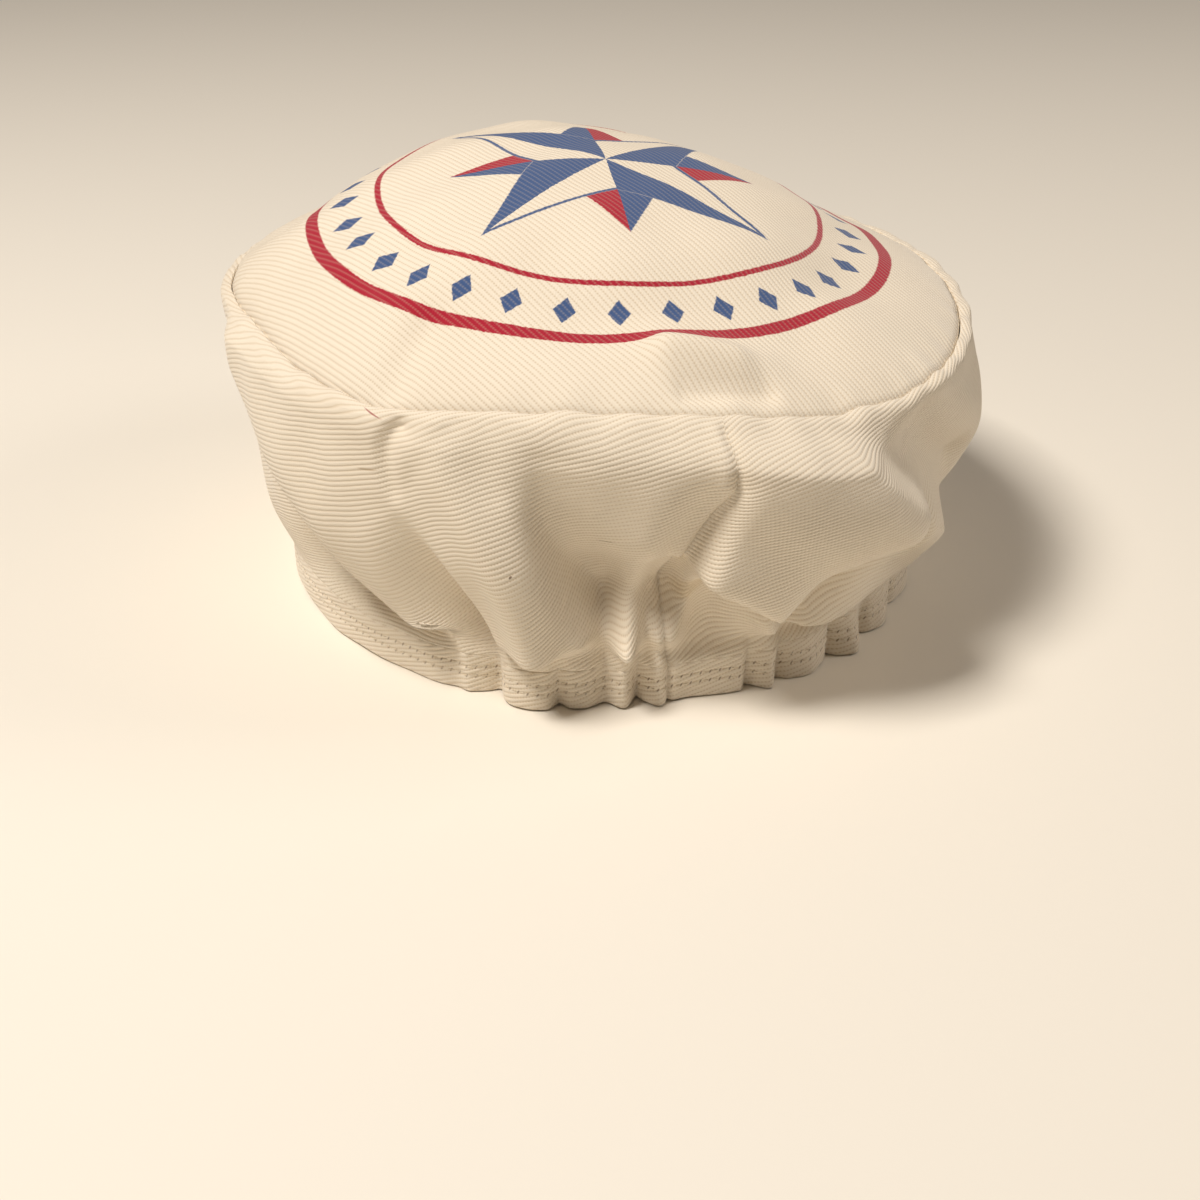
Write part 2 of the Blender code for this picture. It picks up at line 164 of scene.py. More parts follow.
# %% Sections of the side band
Section = namedtuple("Section", "azimuth seam seam_at shoulder shoulder_at belly belly_at tuck tuck_at dome")
SECTIONS = (
    Section(-160, 0.99, 0.97, 0.10, 0.88, 0.30, 0.60, 0.10, 0.26, 0.95),
    Section(-125, 1.03, 0.97, 0.05, 0.90, 0.20, 0.62, 0.20, 0.28, 0.85),
    Section(-95, 1.05, 0.98, 0.00, 0.92, 0.05, 0.64, 0.50, 0.30, 0.72),
    Section(-75, 1.01, 0.98, -0.05, 0.92, 0.00, 0.64, 0.50, 0.32, 0.75),
    Section(-58, 1.02, 0.96, 0.10, 0.89, -0.05, 0.60, -0.35, 0.30, 0.81),
    Section(-42, 1.03, 0.95, 0.10, 0.86, 0.15, 0.56, -0.35, 0.28, 0.85),
    Section(-25, 0.99, 0.98, 0.30, 0.86, 0.40, 0.54, -0.10, 0.24, 0.89),
    Section(-8, 0.97, 0.98, 0.60, 0.84, 0.10, 0.54, -0.10, 0.24, 0.93),
    Section(8, 1.00, 0.965, 0.50, 0.83, 0.10, 0.54, -0.10, 0.24, 0.96),
    Section(22, 1.03, 0.93, 0.35, 0.80, 0.15, 0.56, -0.15, 0.24, 1.00),
    Section(38, 1.06, 0.925, 0.05, 0.84, 0.25, 0.58, -0.15, 0.24, 1.01),
    Section(56, 1.04, 0.935, 0.10, 0.87, 0.85, 0.58, 0.00, 0.26, 0.98),
    Section(76, 1.00, 0.95, 0.15, 0.90, 0.65, 0.62, 0.20, 0.28, 0.90),
    Section(95, 0.965, 0.96, 0.20, 0.91, 0.40, 0.64, 0.20, 0.30, 1.00),
    Section(125, 0.95, 0.95, 0.15, 0.89, 0.30, 0.62, 0.15, 0.28, 1.24),
    Section(160, 0.98, 0.96, 0.10, 0.88, 0.30, 0.60, 0.10, 0.26, 1.05),
)
print(len(SECTIONS), "sections")

# %% [markdown]
# ## The folds
# A fold is a ridge or a valley along a curved way over the band. Each row gives three points that it
# passes, its depth at both ends, how softly it fades on each side, and how far it hangs over. The first
# rows are the main folds, which the solids have too. The rows after them are creases that only show here.
# Where a row stops after its widths, the fold fades like a bell (power 2) and doesn't hang over.

# %% Folds, gathers and dents
Fold = namedtuple("Fold", "start middle end depth_start depth_end left right power lean", defaults=(2, 0.0))
FOLDS = (
    Fold((-78, 0.84), (-49, 0.44), (-30, 0.10), 0.40, 0.90, 1.00, 0.12, 2, 0.3),
    Fold((-40, 0.64), (-31.5, 0.38), (-27.5, 0.10), -0.10, -1.40, 0.20, 0.42),
    Fold((-33, 0.84), (-23, 0.52), (-19, 0.16), 0.20, 0.80, 0.40, 0.34),
    Fold((-18, 0.84), (-16, 0.56), (-10.5, 0.34), -0.10, -1.20, 0.75, 0.24),
    Fold((-10, 0.34), (-9.8, 0.24), (-9.8, 0.12), -0.20, -0.90, 0.18, 0.18),
    Fold((-5, 0.40), (-6, 0.28), (-6.4, 0.16), 0.20, 0.80, 0.22, 0.22),
    Fold((-3.4, 0.28), (-3.6, 0.20), (-3.8, 0.10), -0.10, -0.70, 0.14, 0.14),
    Fold((6.5, 0.80), (3.2, 0.60), (0.4, 0.36), -0.20, -0.90, 0.16, 0.44),
    Fold((10, 0.84), (17, 0.68), (30, 0.52), 0.50, 0.65, 0.85, 0.75),
    Fold((-1, 0.55), (7, 0.50), (18, 0.36), 0.20, 0.75, 0.55, 0.14, 2, 0.3),
    Fold((5.5, 0.38), (6, 0.24), (6, 0.10), -0.45, -0.20, 0.34, 0.34, 3),
    Fold((15.5, 0.30), (16.5, 0.23), (17, 0.16), 0.60, 0.55, 0.25, 0.25),
    Fold((19.5, 0.34), (27, 0.45), (40, 0.52), -0.90, -0.50, 0.28, 0.34),
    Fold((22, 0.27), (31, 0.26), (46, 0.27), 0.75, 0.35, 0.42, 0.22, 2, 0.2),
    Fold((20, 0.92), (31, 0.69), (57, 0.34), 0.40, 0.65, 0.18, 0.70, 2, 0.3),
    Fold((37, 0.76), (45, 0.65), (54, 0.55), -0.35, -0.55, 0.50, 0.45),
)
CREASES = (
    Fold((-38.0, 0.92), (-40, 0.84), (-39, 0.72), -0.14, -0.08, 0.14, 0.09),
    Fold((-30, 0.95), (-34, 0.85), (-36, 0.76), -0.05, -0.03, 0.16, 0.12),
    Fold((-5, 0.46), (-6, 0.36), (-6.4, 0.20), 0.20, 0.45, 0.30, 0.24),
    Fold((-10.2, 0.36), (-9.8, 0.25), (-9.8, 0.12), 0.20, 0.60, 0.19, 0.19),
    Fold((-13, 0.46), (-11.5, 0.38), (-10.5, 0.30), 0.05, 0.35, 0.50, 0.30),
    Fold((1.5, 0.46), (0.4, 0.36), (0.2, 0.24), 0.25, 0.38, 0.30, 0.30),
    Fold((-22, 0.72), (-18.2, 0.52), (-13.2, 0.26), 0.06, 0.18, 0.12, 0.20),
    Fold((-60, 0.42), (-52, 0.28), (-44, 0.16), -0.25, -0.10, 0.30, 0.30),
)
Ruffle = namedtuple("Ruffle", "azimuth left right depth top")
RUFFLES = (
    Ruffle(-27.2, 1.6, 0.7, -0.7, 0.9),
    Ruffle(-22.0, 3.8, 3.2, 0.6, 0.8),
    Ruffle(-17.2, 0.7, 1.4, -1.0, 0.9),
    Ruffle(-11.0, 3.5, 4.0, 0.4, 0.8),
    Ruffle(-4.6, 1.3, 0.7, -1.2, 1.1),
    Ruffle(-1.8, 1.6, 1.4, 0.3, 0.8),
    Ruffle(14.2, 0.7, 1.8, -1.1, 1.0),
    Ruffle(17.6, 0.9, 1.0, 0.5, 0.8),
    Ruffle(20.2, 0.9, 0.8, -0.8, 0.9),
    Ruffle(26.0, 4.0, 3.6, 0.9, 0.8),
    Ruffle(31.6, 0.9, 0.8, -1.1, 0.8),
    Ruffle(35.8, 2.4, 2.6, 1.2, 0.8),
    Ruffle(40.8, 1.4, 1.0, -0.8, 0.8),
    Ruffle(46.0, 2.8, 3.0, 0.7, 0.8),
    Ruffle(51.6, 1.2, 1.6, -0.7, 0.8),
    Ruffle(58.0, 3.0, 3.0, 0.4, 0.8),
)
Dent = namedtuple("Dent", "start end rise width")
DENTS = (
    Dent((-0.45, -0.72), (0.35, -0.74), -0.12, 0.16),
    Dent((-0.92, 0.25), (-0.55, 0.62), -0.30, 0.18),
    Dent((0.62, -0.45), (0.80, 0.10), -0.12, 0.22),
    Dent((0.02, -0.84), (0.26, -0.85), 0.09, 0.06),
)
FINE_DENTS = (
    Dent((-0.55, -0.62), (-0.70, -0.80), -0.05, 0.05),
    Dent((0.02, -0.83), (0.18, -0.85), 0.07, 0.05),
    Dent((0.04, -0.93), (0.24, -0.92), -0.06, 0.03),
)
print(len(FOLDS), "folds,", len(CREASES), "creases,", len(RUFFLES), "gathers")


# %% [markdown]
# ## Working the form out
# These functions turn the tables into points. They are the functions of the solids, with two differences. A
# grid of azimuths may differ from row to row, which lets the columns of the mesh follow the slanted back
# seam, and a fold's two widths blend into each other round its ends.

# %% Functions of the form
def apart(azimuth, middle):
    """How far azimuths lie from a middle one, -180 to 180 degrees."""
    return np.mod(azimuth - middle + 180, 360) - 180


def bell(distance, width):
    """1 at no distance, fading to nothing over about twice the width."""
    return np.exp(-(distance / width) ** 2)


def smooth_step(x):
    """0 below 0, 1 above 1, and a smooth rise between them."""
    x = np.clip(x, 0, 1)
    return x * x * (3 - 2 * x)


def raised(plan, height):
    """Plan points lifted to these heights."""
    height = np.broadcast_to(height, plan.shape[:-1])
    return np.concatenate([plan, height[..., None]], -1)


def oval(azimuth, half_width, half_length):
    """Points of an oval round the origin, in plan."""
    turn = np.radians(azimuth)
    return np.stack([half_width * np.sin(turn), -half_length * np.cos(turn)], -1)


def outward(azimuth):
    """Plan directions square to the head opening's oval."""
    side = oval(azimuth, 1 / OPENING_HALF_WIDTH, 1 / OPENING_HALF_LENGTH)
    return side / np.linalg.norm(side, axis=-1, keepdims=True)


def section_at(azimuth):
    """The columns of SECTIONS at these azimuths, on a smooth curve that closes on itself."""
    rows = np.array(SECTIONS, float)
    knots = np.concatenate([rows[-2:, 0] - 360, rows[:, 0], rows[:2, 0] + 360])
    values = np.concatenate([rows[-2:, 1:], rows[:, 1:], rows[:2, 1:]])
    at = np.mod(azimuth - rows[0, 0], 360) + rows[0, 0]
    i = np.searchsorted(knots, at, side="right") - 1
    step = (knots[i + 1] - knots[i])[..., None]
    t = (at - knots[i])[..., None] / step
    slope_0 = step * (values[i + 1] - values[i - 1]) / (knots[i + 1] - knots[i - 1])[..., None]
    slope_1 = step * (values[i + 2] - values[i]) / (knots[i + 2] - knots[i])[..., None]
    blend = smooth_step(t)
    return ((1 - blend) * values[i] + blend * values[i + 1]
            + t * (1 - t) ** 2 * slope_0 - t * t * (1 - t) * slope_1)


def waves(place, length, seed, count=7):
    """Smooth unevenness from -1 to 1 at 2D places, with bumps about as long as length."""
    draw = np.random.default_rng(seed)
    turn, phase = draw.uniform(0, 2 * pi, (2, count))
    stretch = draw.uniform(0.7, 1.5, count) * 2 * pi / length
    way = place[..., :1] * np.cos(turn) + place[..., 1:2] * np.sin(turn)
    return np.sin(way * stretch + phase).sum(-1) / count ** 0.5 / 1.6


SEAM_PUCKER = 0.0007
SEAM_PUCKER_LENGTH = 0.013


def seam_line(azimuth, pucker=SEAM_PUCKER):
    """The seam between the crown panel and the side band, slightly puckered."""
    row = Section(None, *np.moveaxis(section_at(azimuth), -1, 0))
    plan = oval(azimuth, CROWN_HALF_WIDTH, CROWN_HALF_LENGTH) * row.seam[..., None]
    return raised(plan, row.seam_at * WALL_HEIGHT + pucker * waves(plan, SEAM_PUCKER_LENGTH, 3))


def wall_rings(azimuth):
    """Guide rings of the side band from the seam's roll down to the rim, (ring, ..., xyz)."""
    row = Section(None, *np.moveaxis(section_at(azimuth), -1, 0))
    seam = seam_line(azimuth)
    side = outward(azimuth)
    opening = oval(azimuth, OPENING_HALF_WIDTH, OPENING_HALF_LENGTH)

    def ring(plan, beyond, height):
        beyond = np.broadcast_to(beyond, azimuth.shape)
        return raised(plan + side * beyond[..., None], height)

    roll = ring(seam[..., :2], SEAM_ROLL, seam[..., 2])
    shoulder = ring(seam[..., :2], SEAM_ROLL + row.shoulder * PUFF, row.shoulder_at * WALL_HEIGHT)
    down = (row.belly_at / row.shoulder_at)[..., None]
    middle = shoulder[..., :2] * down + opening * (1 - down)
    belly = ring(middle, row.belly * PUFF, row.belly_at * WALL_HEIGHT)
    tuck = ring(opening, row.tuck * PUFF, row.tuck_at * WALL_HEIGHT)
    hem = ring(opening, 0.0, HEM_HEIGHT)
    return np.stack([roll, shoulder, belly, tuck, hem])


def along(rings, share):
    """Points at these shares of the way down, one share for each row, (row, column, xyz)."""
    place = np.clip(share, 0, 1) * (len(rings) - 1)
    i = np.minimum(place.astype(int), len(rings) - 2)
    t = (place - i)[:, None, None]
    ends = np.concatenate([2 * rings[:1] - rings[1:2], rings, 2 * rings[-1:] - rings[-2:-1]])
    row = np.arange(len(share))
    before, here, there, after = (ends[i + k, row] for k in range(4))
    return 0.5 * (2 * here + (there - before) * t
                  + (2 * before - 5 * here + 4 * there - after) * t ** 2
                  + (3 * here - before - 3 * there + after) * t ** 3)


WAY_POINTS = 13


def fold_push(folds, azimuth, height):
    """What the folds add: push outwards, and lean along the azimuth and up the wall, in metres."""
    push, lean_along, lean_up = (np.zeros(azimuth.shape) for _ in range(3))
    t = np.linspace(0, 1, WAY_POINTS)[:, None]
    for fold in folds:
        start, middle, end = (np.array(point) for point in fold[:3])
        way = (1 - t) * (1 - 2 * t) * start + 4 * t * (1 - t) * middle + t * (2 * t - 1) * end
        way = way * (ARC_PER_DEGREE, WALL_HEIGHT)
        place = np.stack([(apart(azimuth, middle[0]) + middle[0]) * ARC_PER_DEGREE, height], -1)
        nearest = np.full(azimuth.shape, np.inf)
        width, reached = np.ones(azimuth.shape), np.zeros(azimuth.shape)
        across = np.zeros(place.shape)
        for k, (here, there) in enumerate(zip(way[:-1], way[1:])):
            step = there - here
            share = np.clip((place - here) @ step / (step @ step), 0, 1)
            off = place - here - share[..., None] * step
            distance = np.linalg.norm(off, axis=-1)
            closer = distance < nearest
            nearest = np.where(closer, distance, nearest)
            turned = step[0] * off[..., 1] - step[1] * off[..., 0]
            turned = turned / np.maximum(distance * np.hypot(*step), 1e-12)
            side_width = (fold.left + fold.right + (fold.left - fold.right) * turned) / 2
            width = np.where(closer, side_width, width)
            reached = np.where(closer, (k + share) / (len(way) - 1), reached)
            to_right = np.array([step[1], -step[0]]) / np.linalg.norm(step)
            across = np.where(closer[..., None], to_right, across)
        depth = fold.depth_start + (fold.depth_end - fold.depth_start) * reached
        shape = np.exp(-(nearest / (width * FOLD_WIDTH)) ** fold.power) * depth * FOLD_DEPTH
        push += shape
        lean_along += fold.lean * shape * across[..., 0]
        lean_up += fold.lean * shape * across[..., 1]
    return push, lean_along, lean_up


def ruffle_push(azimuth, height):
    """How far the gathers at the rim push the cloth outwards, in metres."""
    push = np.zeros(azimuth.shape)
    for ruffle in RUFFLES:
        aside = apart(azimuth, ruffle.azimuth)
        fade = 1 - smooth_step(height / (ruffle.top * RUFFLE_HEIGHT))
        half_width = np.where(aside < 0, ruffle.left, ruffle.right)
        push += ruffle.depth * RUFFLE_DEPTH * bell(aside, half_width) * fade
    return push


def across_grid(points):
    """Unit directions of a grid that closes on itself: outward normal, along a row, up a column."""
    around = np.roll(points, -1, axis=1) - np.roll(points, 1, axis=1)
    down = np.diff(points, axis=0)
    down = np.concatenate([down[:1], down[1:] + down[:-1], down[-1:]])
    normal = np.cross(down, around)
    around /= np.linalg.norm(around, axis=-1, keepdims=True)
    up = -down / np.linalg.norm(down, axis=-1, keepdims=True)
    return normal / np.linalg.norm(normal, axis=-1, keepdims=True), around, up


print("seam height at the back:", round(float(seam_line(np.array([0.0]))[0, 2]) / MM, 1), "mm")

# %% [markdown]
# ## The cloth's grid
# The strip of the band is joined at the back. Its ends meet in a seam that wanders to one side where the
# cloth is pulled, so the columns of the grid start at that seam and lean with it. They are close together
# across the gathered back, where the small folds are, and wider apart round the front.

# %% Columns and rows of the band
SEAM_WAY = ((0.0, 1.2), (0.14, 0.5), (0.44, -0.8), (0.62, 3.4), (0.75, 7.0), (0.95, 6.3))
SEAM_REST = 4.0
SEAM_PULL_WIDTH = 24.0
FINE_TO, COARSE_TO = 100.0, 280.0
FINE_STEP, COARSE_STEP = 0.6, 1.5
EDGE_SHARES = (0, 0.001, 0.004, 0.009, 0.016, 0.025, 0.036, 0.048)
WALL_ROW_COUNT = 82
WALL_FROM = 0.06


def steps(start, stop, step):
    """Even azimuths from start up to, but not including, stop."""
    count = round((stop - start) / step)
    return start + (stop - start) * np.arange(count) / count


base_azimuth = np.concatenate([
    steps(SEAM_REST, FINE_TO, FINE_STEP),
    steps(FINE_TO, COARSE_TO, COARSE_STEP),
    steps(COARSE_TO, SEAM_REST + 360, FINE_STEP),
])
wall_share = np.concatenate([EDGE_SHARES, np.linspace(WALL_FROM, 1, WALL_ROW_COUNT)])


def azimuth_grid(height_share):
    """The azimuth of each column at each height, pulled aside near the back seam."""
    at = np.interp(height_share, *np.array(SEAM_WAY).T) - SEAM_REST
    fade = 1 - smooth_step(np.abs(apart(base_azimuth, SEAM_REST)) / SEAM_PULL_WIDTH)
    return base_azimuth + at[:, None] * fade


print(len(base_azimuth), "columns and", len(wall_share), "rows")

# %% [markdown]
# The folds push the plain wall outwards, square to its surface. They fade out at the crown seam, which
# holds the cloth flat, and at the hem, where the elastic does. A little unevenness on top keeps the
# broad areas from looking machined, and the back seam presses a ditch between two soft edges.

# %% The folded band
CLOTH_UNEVENNESS = 0.0004
CLOTH_UNEVENNESS_LENGTH = 0.022
DITCH_DEPTH = 0.0016
DITCH_WIDTH = 0.0009
DITCH_EDGE = 0.0007
DITCH_EDGE_OFF = 0.0026
DITCH_EDGE_WIDTH = 0.0018


def folded(share):
    """The band (row, column, xyz) with its folds, creases and gathers, for these shares of the way down."""
    height_share = 1 - share * (1 - HEM_HEIGHT / WALL_HEIGHT)
    azimuth = azimuth_grid(height_share)
    points = along(wall_rings(azimuth), share)
    normal, around, up = across_grid(points)
    height = points[..., 2]
    push, lean_along, lean_up = fold_push(FOLDS, azimuth, height)
    calm = np.clip(share / CALM_ABOVE, 0, 1)[:, None]
    held = smooth_step((height - HEM_HEIGHT) / HOLD_HEIGHT)
    push = push * calm * (HEM_HOLD + (1 - HEM_HOLD) * calm * held) + ruffle_push(azimuth, height)
    lean = calm * smooth_step((height - HEM_HEIGHT) / (LEAN_HOLD * HOLD_HEIGHT))
    fine = fold_push(CREASES, azimuth, height)[0] * held
    place = np.stack([azimuth * ARC_PER_DEGREE, height], -1)
    fine = fine + CLOTH_UNEVENNESS * waves(place, CLOTH_UNEVENNESS_LENGTH, 11)
    off = apart(base_azimuth, SEAM_REST) * ARC_PER_DEGREE
    ditch = DITCH_EDGE * bell(off + DITCH_EDGE_OFF, DITCH_EDGE_WIDTH) - DITCH_DEPTH * bell(off, DITCH_WIDTH)
    push = push + (fine + ditch) * smooth_step(share / WALL_FROM)[:, None]
    moves = ((normal, push), (around, lean_along * lean), (up, lean_up * lean))
    return points + sum(way * far[..., None] for way, far in moves)


band_wall = folded(wall_share)
print("band reaches", (band_wall.max((0, 1)) / MM).round(1), "mm")

# %% [markdown]
# At the crown seam the band's cloth turns over its own seam allowance, so its edge is soft and round. Each
# of its first rows is drawn in towards the seam by a quarter of an oval. At the bottom the cloth slips
# behind the top of the hem, so that the two pieces meet in a fine groove.

# %% The band from its lip to behind the hem
TURN_SHARE = 0.09
TURN_RISE = 0.0002
TUCK_BEHIND = 0.0016
TUCK_DOWN = 0.0022

roll_azimuth = azimuth_grid(np.array([1.0]))[0]
seam = seam_line(roll_azimuth)
side = raised(outward(roll_azimuth), 0)
near_seam = np.clip(1 - wall_share / TURN_SHARE, 0, 1)[:, None, None]
drawn_in = (SEAM_ROLL - PIECE_GAP) * (1 - np.sqrt(1 - near_seam ** 2))
swell = TURN_RISE * 4 * near_seam ** 2 * (1 - near_seam ** 2)
band_face = band_wall - side * drawn_in + np.array([0, 0, 1.0]) * swell
lip = (seam + side * PIECE_GAP - (0, 0, SEAM_LIP))[None]
hem_azimuth = azimuth_grid(np.array([HEM_HEIGHT / WALL_HEIGHT]))[0]
hem_side = raised(outward(hem_azimuth), 0)
tucked = [band_wall[-1] - (hem_side * TUCK_BEHIND + (0, 0, TUCK_DOWN)) * part for part in (0.5, 1)]
band_points = np.concatenate([lip, band_face, tucked])
print("band grid:", band_points.shape[:2])

# %% [markdown]
# ## A flat pattern for the weave
# The weave has to follow the cloth, so each piece needs a UV map that is its real cutting pattern, in
# metres. Unwrapping by hand would do, but a pattern can also be found as a tailor would: lay the grid out
# flat, then pull its edges, over and over, to the lengths that they have on the cap. Its small waves are
# smoothed away, as woven cloth has none. One end of the strip is cut a little off the grain, so the ribs
# stand steeper on the right of the back seam.


# %% Flattening
def flatten(points, flat, rounds):
    """Pull the edges of a flat copy of a grid to the lengths that they have in points."""
    whole, first, last = slice(None), slice(None, -1), slice(1, None)
    ends = (((whole, first), (whole, last)), ((first, whole), (last, whole)),
            ((first, first), (last, last)), ((first, last), (last, first)))
    rest = [np.linalg.norm(points[there] - points[here], axis=-1) for here, there in ends]
    count = np.zeros(flat.shape[:2])
    for here, there in ends:
        count[here] += 1
        count[there] += 1
    for _ in range(rounds):
        move = np.zeros(flat.shape)
        for (here, there), length in zip(ends, rest):
            step = flat[there] - flat[here]
            now = np.linalg.norm(step, axis=-1)
            pull = step * (0.5 * (now - length) / np.maximum(now, 1e-9))[..., None]
            move[here] += pull
            move[there] -= pull
        flat = flat + move / count[..., None]
    return flat


def even_out(shift, rounds):
    """Smooth a grid of shifts, so that the ribs of a flat pattern run without small waves."""
    for _ in range(rounds):
        for axis in (0, 1):
            wide = np.concatenate([shift.take([0], axis), shift, shift.take([-1], axis)], axis)
            count = shift.shape[axis]
            before, after = wide.take(range(count), axis), wide.take(range(2, count + 2), axis)
            shift = (before + 2 * shift + after) / 4
    return shift


def lengths(points, axis):
    """How far each point of a grid is from the first along the cloth, down columns (0) or along rows (1)."""
    step = np.linalg.norm(np.diff(points, axis=axis), axis=-1)
    return np.concatenate([np.zeros_like(step.take([0], axis)), np.cumsum(step, axis)], axis)


def first_pattern(points):
    """A flat start for flatten: each row's and column's own lengths, from both ends towards the front."""
    u = lengths(points, 1)
    from_other_end = u[:, -1:].mean() - u[:, -1:] + u
    front = smooth_step(np.linspace(-1, 2, u.shape[1]))
    return np.stack([u * (1 - front) + from_other_end * front, -lengths(points, 0)], -1)


FLATTEN_ROUNDS = 60
EVEN_ROUNDS = 60
END_SLANT = 0.20
END_REACH = 0.09
joined = np.concatenate([band_points, band_points[:, :1]], axis=1)
flat_start = first_pattern(joined)
band_pattern = flatten(joined, flat_start, FLATTEN_ROUNDS)
straight = flat_start[..., 0].mean(0), flat_start[..., 1].mean(1)[:, None]
straight = np.stack(np.broadcast_arrays(*straight), -1)
band_pattern = straight + even_out(band_pattern - straight, EVEN_ROUNDS)
from_seam = band_pattern[..., 0] - band_pattern[:, :1, 0]
band_pattern[..., 1] -= END_SLANT * END_REACH * (1 - np.exp(-from_seam / END_REACH))


# %% [markdown]
# ## From points to cloth
# One function makes every cloth piece: faces between neighbouring points, the pattern as its UV map, and
# a Solidify modifier for the cloth's thickness, which is then applied. The inner face may take a second
# material, so that a print stays on the outside.

# %% Cloth pieces
def cloth(name, points, pattern, thickness, materials, pole=None):
    """A grid as cloth, closed to a ring if pattern has one column more than points. pole is (xyz, uv)."""
    rows, columns = points.shape[:2]
    row, column = np.meshgrid(np.arange(rows - 1), np.arange(pattern.shape[1] - 1), indexing="ij")
    beside = (column + 1) % columns
    faces = np.stack([row * columns + column, (row + 1) * columns + column,
                      (row + 1) * columns + beside, row * columns + beside], -1).reshape(-1, 4).tolist()
    uv = np.stack([pattern[row, column], pattern[row + 1, column],
                   pattern[row + 1, column + 1], pattern[row, column + 1]], -2).reshape(-1, 2)
    vertices = points.reshape(-1, 3).tolist()
    if pole is not None:
        vertices.append(list(pole[0]))
        faces += [[len(vertices) - 1, k, (k + 1) % columns] for k in range(columns)]
        tips = np.broadcast_to(pole[1], (columns, 2))
        uv = np.concatenate([uv, np.stack([tips, pattern[0, :-1], pattern[0, 1:]], 1).reshape(-1, 2)])
    mesh = bpy.data.meshes.new(name)
    mesh.from_pydata(vertices, [], faces)
    mesh.uv_layers.new(name="pattern").data.foreach_set("uv", uv.astype(np.float32).ravel())
    mesh.shade_smooth()
    for material in materials:
        mesh.materials.append(material)
    piece = new_object(name, mesh)
    if thickness:
        wall = piece.modifiers.new("wall", "SOLIDIFY")
        wall.thickness = thickness
        wall.offset = -1
        wall.material_offset = len(materials) - 1
        wall.material_offset_rim = 0
    return piece


def apply_modifiers(piece):
    """Replace a piece's mesh by its evaluated one, and drop its modifiers."""
    evaluated = piece.evaluated_get(bpy.context.evaluated_depsgraph_get())
    mesh = bpy.data.meshes.new_from_object(evaluated)
    piece.modifiers.clear()
    piece.data = mesh


def weld(piece):
    """Join points that lie in the same place."""
    shape = bmesh.new()
    shape.from_mesh(piece.data)
    bmesh.ops.remove_doubles(shape, verts=shape.verts, dist=0.01 * MM)
    shape.to_mesh(piece.data)
    shape.free()


def finish_piece(piece, slot, *nodes):
    """Apply a piece's modifiers, let it ride on the cap and stand for its CAD nodes. slot is not used."""
    if piece.modifiers:
        apply_modifiers(piece)
    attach(piece, BODY)
    if nodes:
        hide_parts(*nodes)
    triangles = sum(len(face.vertices) - 2 for face in piece.data.polygons)
    print(f"{piece.name}: {triangles} triangles")


# %% [markdown]
# ## The weave
# Drill is a heavy cotton twill. Under the eye it is rows of slanted ribs, each made of short floats, with
# small dark pinholes between them. An image would tile and blur, so the weave is worked out in the shader
# from the pattern's real millimetres. One function adds a node with its settings and its links.


# %% Node helper
def add(tree, kind, inputs=(), **settings):
    """Add a node. inputs are values or output sockets, by index or by name; settings are its attributes."""
    item = tree.nodes.new(kind)
    for name, value in settings.items():
        setattr(item, name, value)
    pairs = inputs.items() if isinstance(inputs, dict) else enumerate(inputs)
    for key, value in pairs:
        if isinstance(value, bpy.types.NodeSocket):
            tree.links.new(value, item.inputs[key])
        elif value is not None:
            item.inputs[key].default_value = value
    return item


def calculate(tree, operation, *inputs):
    """The output of one Math node."""
    return add(tree, "ShaderNodeMath", inputs, operation=operation).outputs[0]


def vector(tree, operation, *inputs):
    """The vector output of one Vector Math node."""
    return add(tree, "ShaderNodeVectorMath", inputs, operation=operation).outputs[0]


def turn_flat(tree, place, angle):
    """A place turned about the pattern's normal, by an angle in radians."""
    inputs = {"Vector": place, "Angle": angle}
    return add(tree, "ShaderNodeVectorRotate", inputs, rotation_type="Z_AXIS").outputs[0]


def noise(tree, place, scale, detail=2.0):
    """The outputs of a Noise Texture node, Fac and Color."""
    return add(tree, "ShaderNodeTexNoise", {"Vector": place, "Scale": scale, "Detail": detail}).outputs


def soft_mask(tree, value, nothing, whole, strength=1.0):
    """0 where value is nothing or beyond it, strength where it is whole or beyond that."""
    inputs = {"Value": value, "From Min": nothing, "From Max": whole, "To Max": strength}
    return add(tree, "ShaderNodeMapRange", inputs, clamp=True).outputs[0]


def swell(tree, phase):
    """A wave between 0 and 1 that is 1 at each whole number."""
    wave = calculate(tree, "COSINE", calculate(tree, "MULTIPLY", phase, 2 * pi))
    return calculate(tree, "MULTIPLY_ADD", wave, 0.5, 0.5)


def reach_of(tree, x, y):
    """The length of the way to (x, y)."""
    squares = (calculate(tree, "MULTIPLY", part, part) for part in (x, y))
    return calculate(tree, "SQRT", calculate(tree, "ADD", *squares))


# %% The weave as a node group
RIB_PITCH = 1.3 * MM
RIB_ROUNDNESS = 0.6
FLOAT_PITCH = 0.85 * MM
FLOAT_SHIFT = 0.38
BEAD_SHARE = 0.3
GRAIN_SHARE = 0.25
VALLEY_NARROWNESS, VALLEY_GAP = 3.0, 0.32
HOLE_NARROWNESS, HOLE_GAP = 1.5, 0.65
YARN_WANDER = 0.15 * MM
YARN_WANDER_SCALE = 1 / (5 * MM)
YARN_GRAIN_SCALE = 1 / (0.45 * MM)


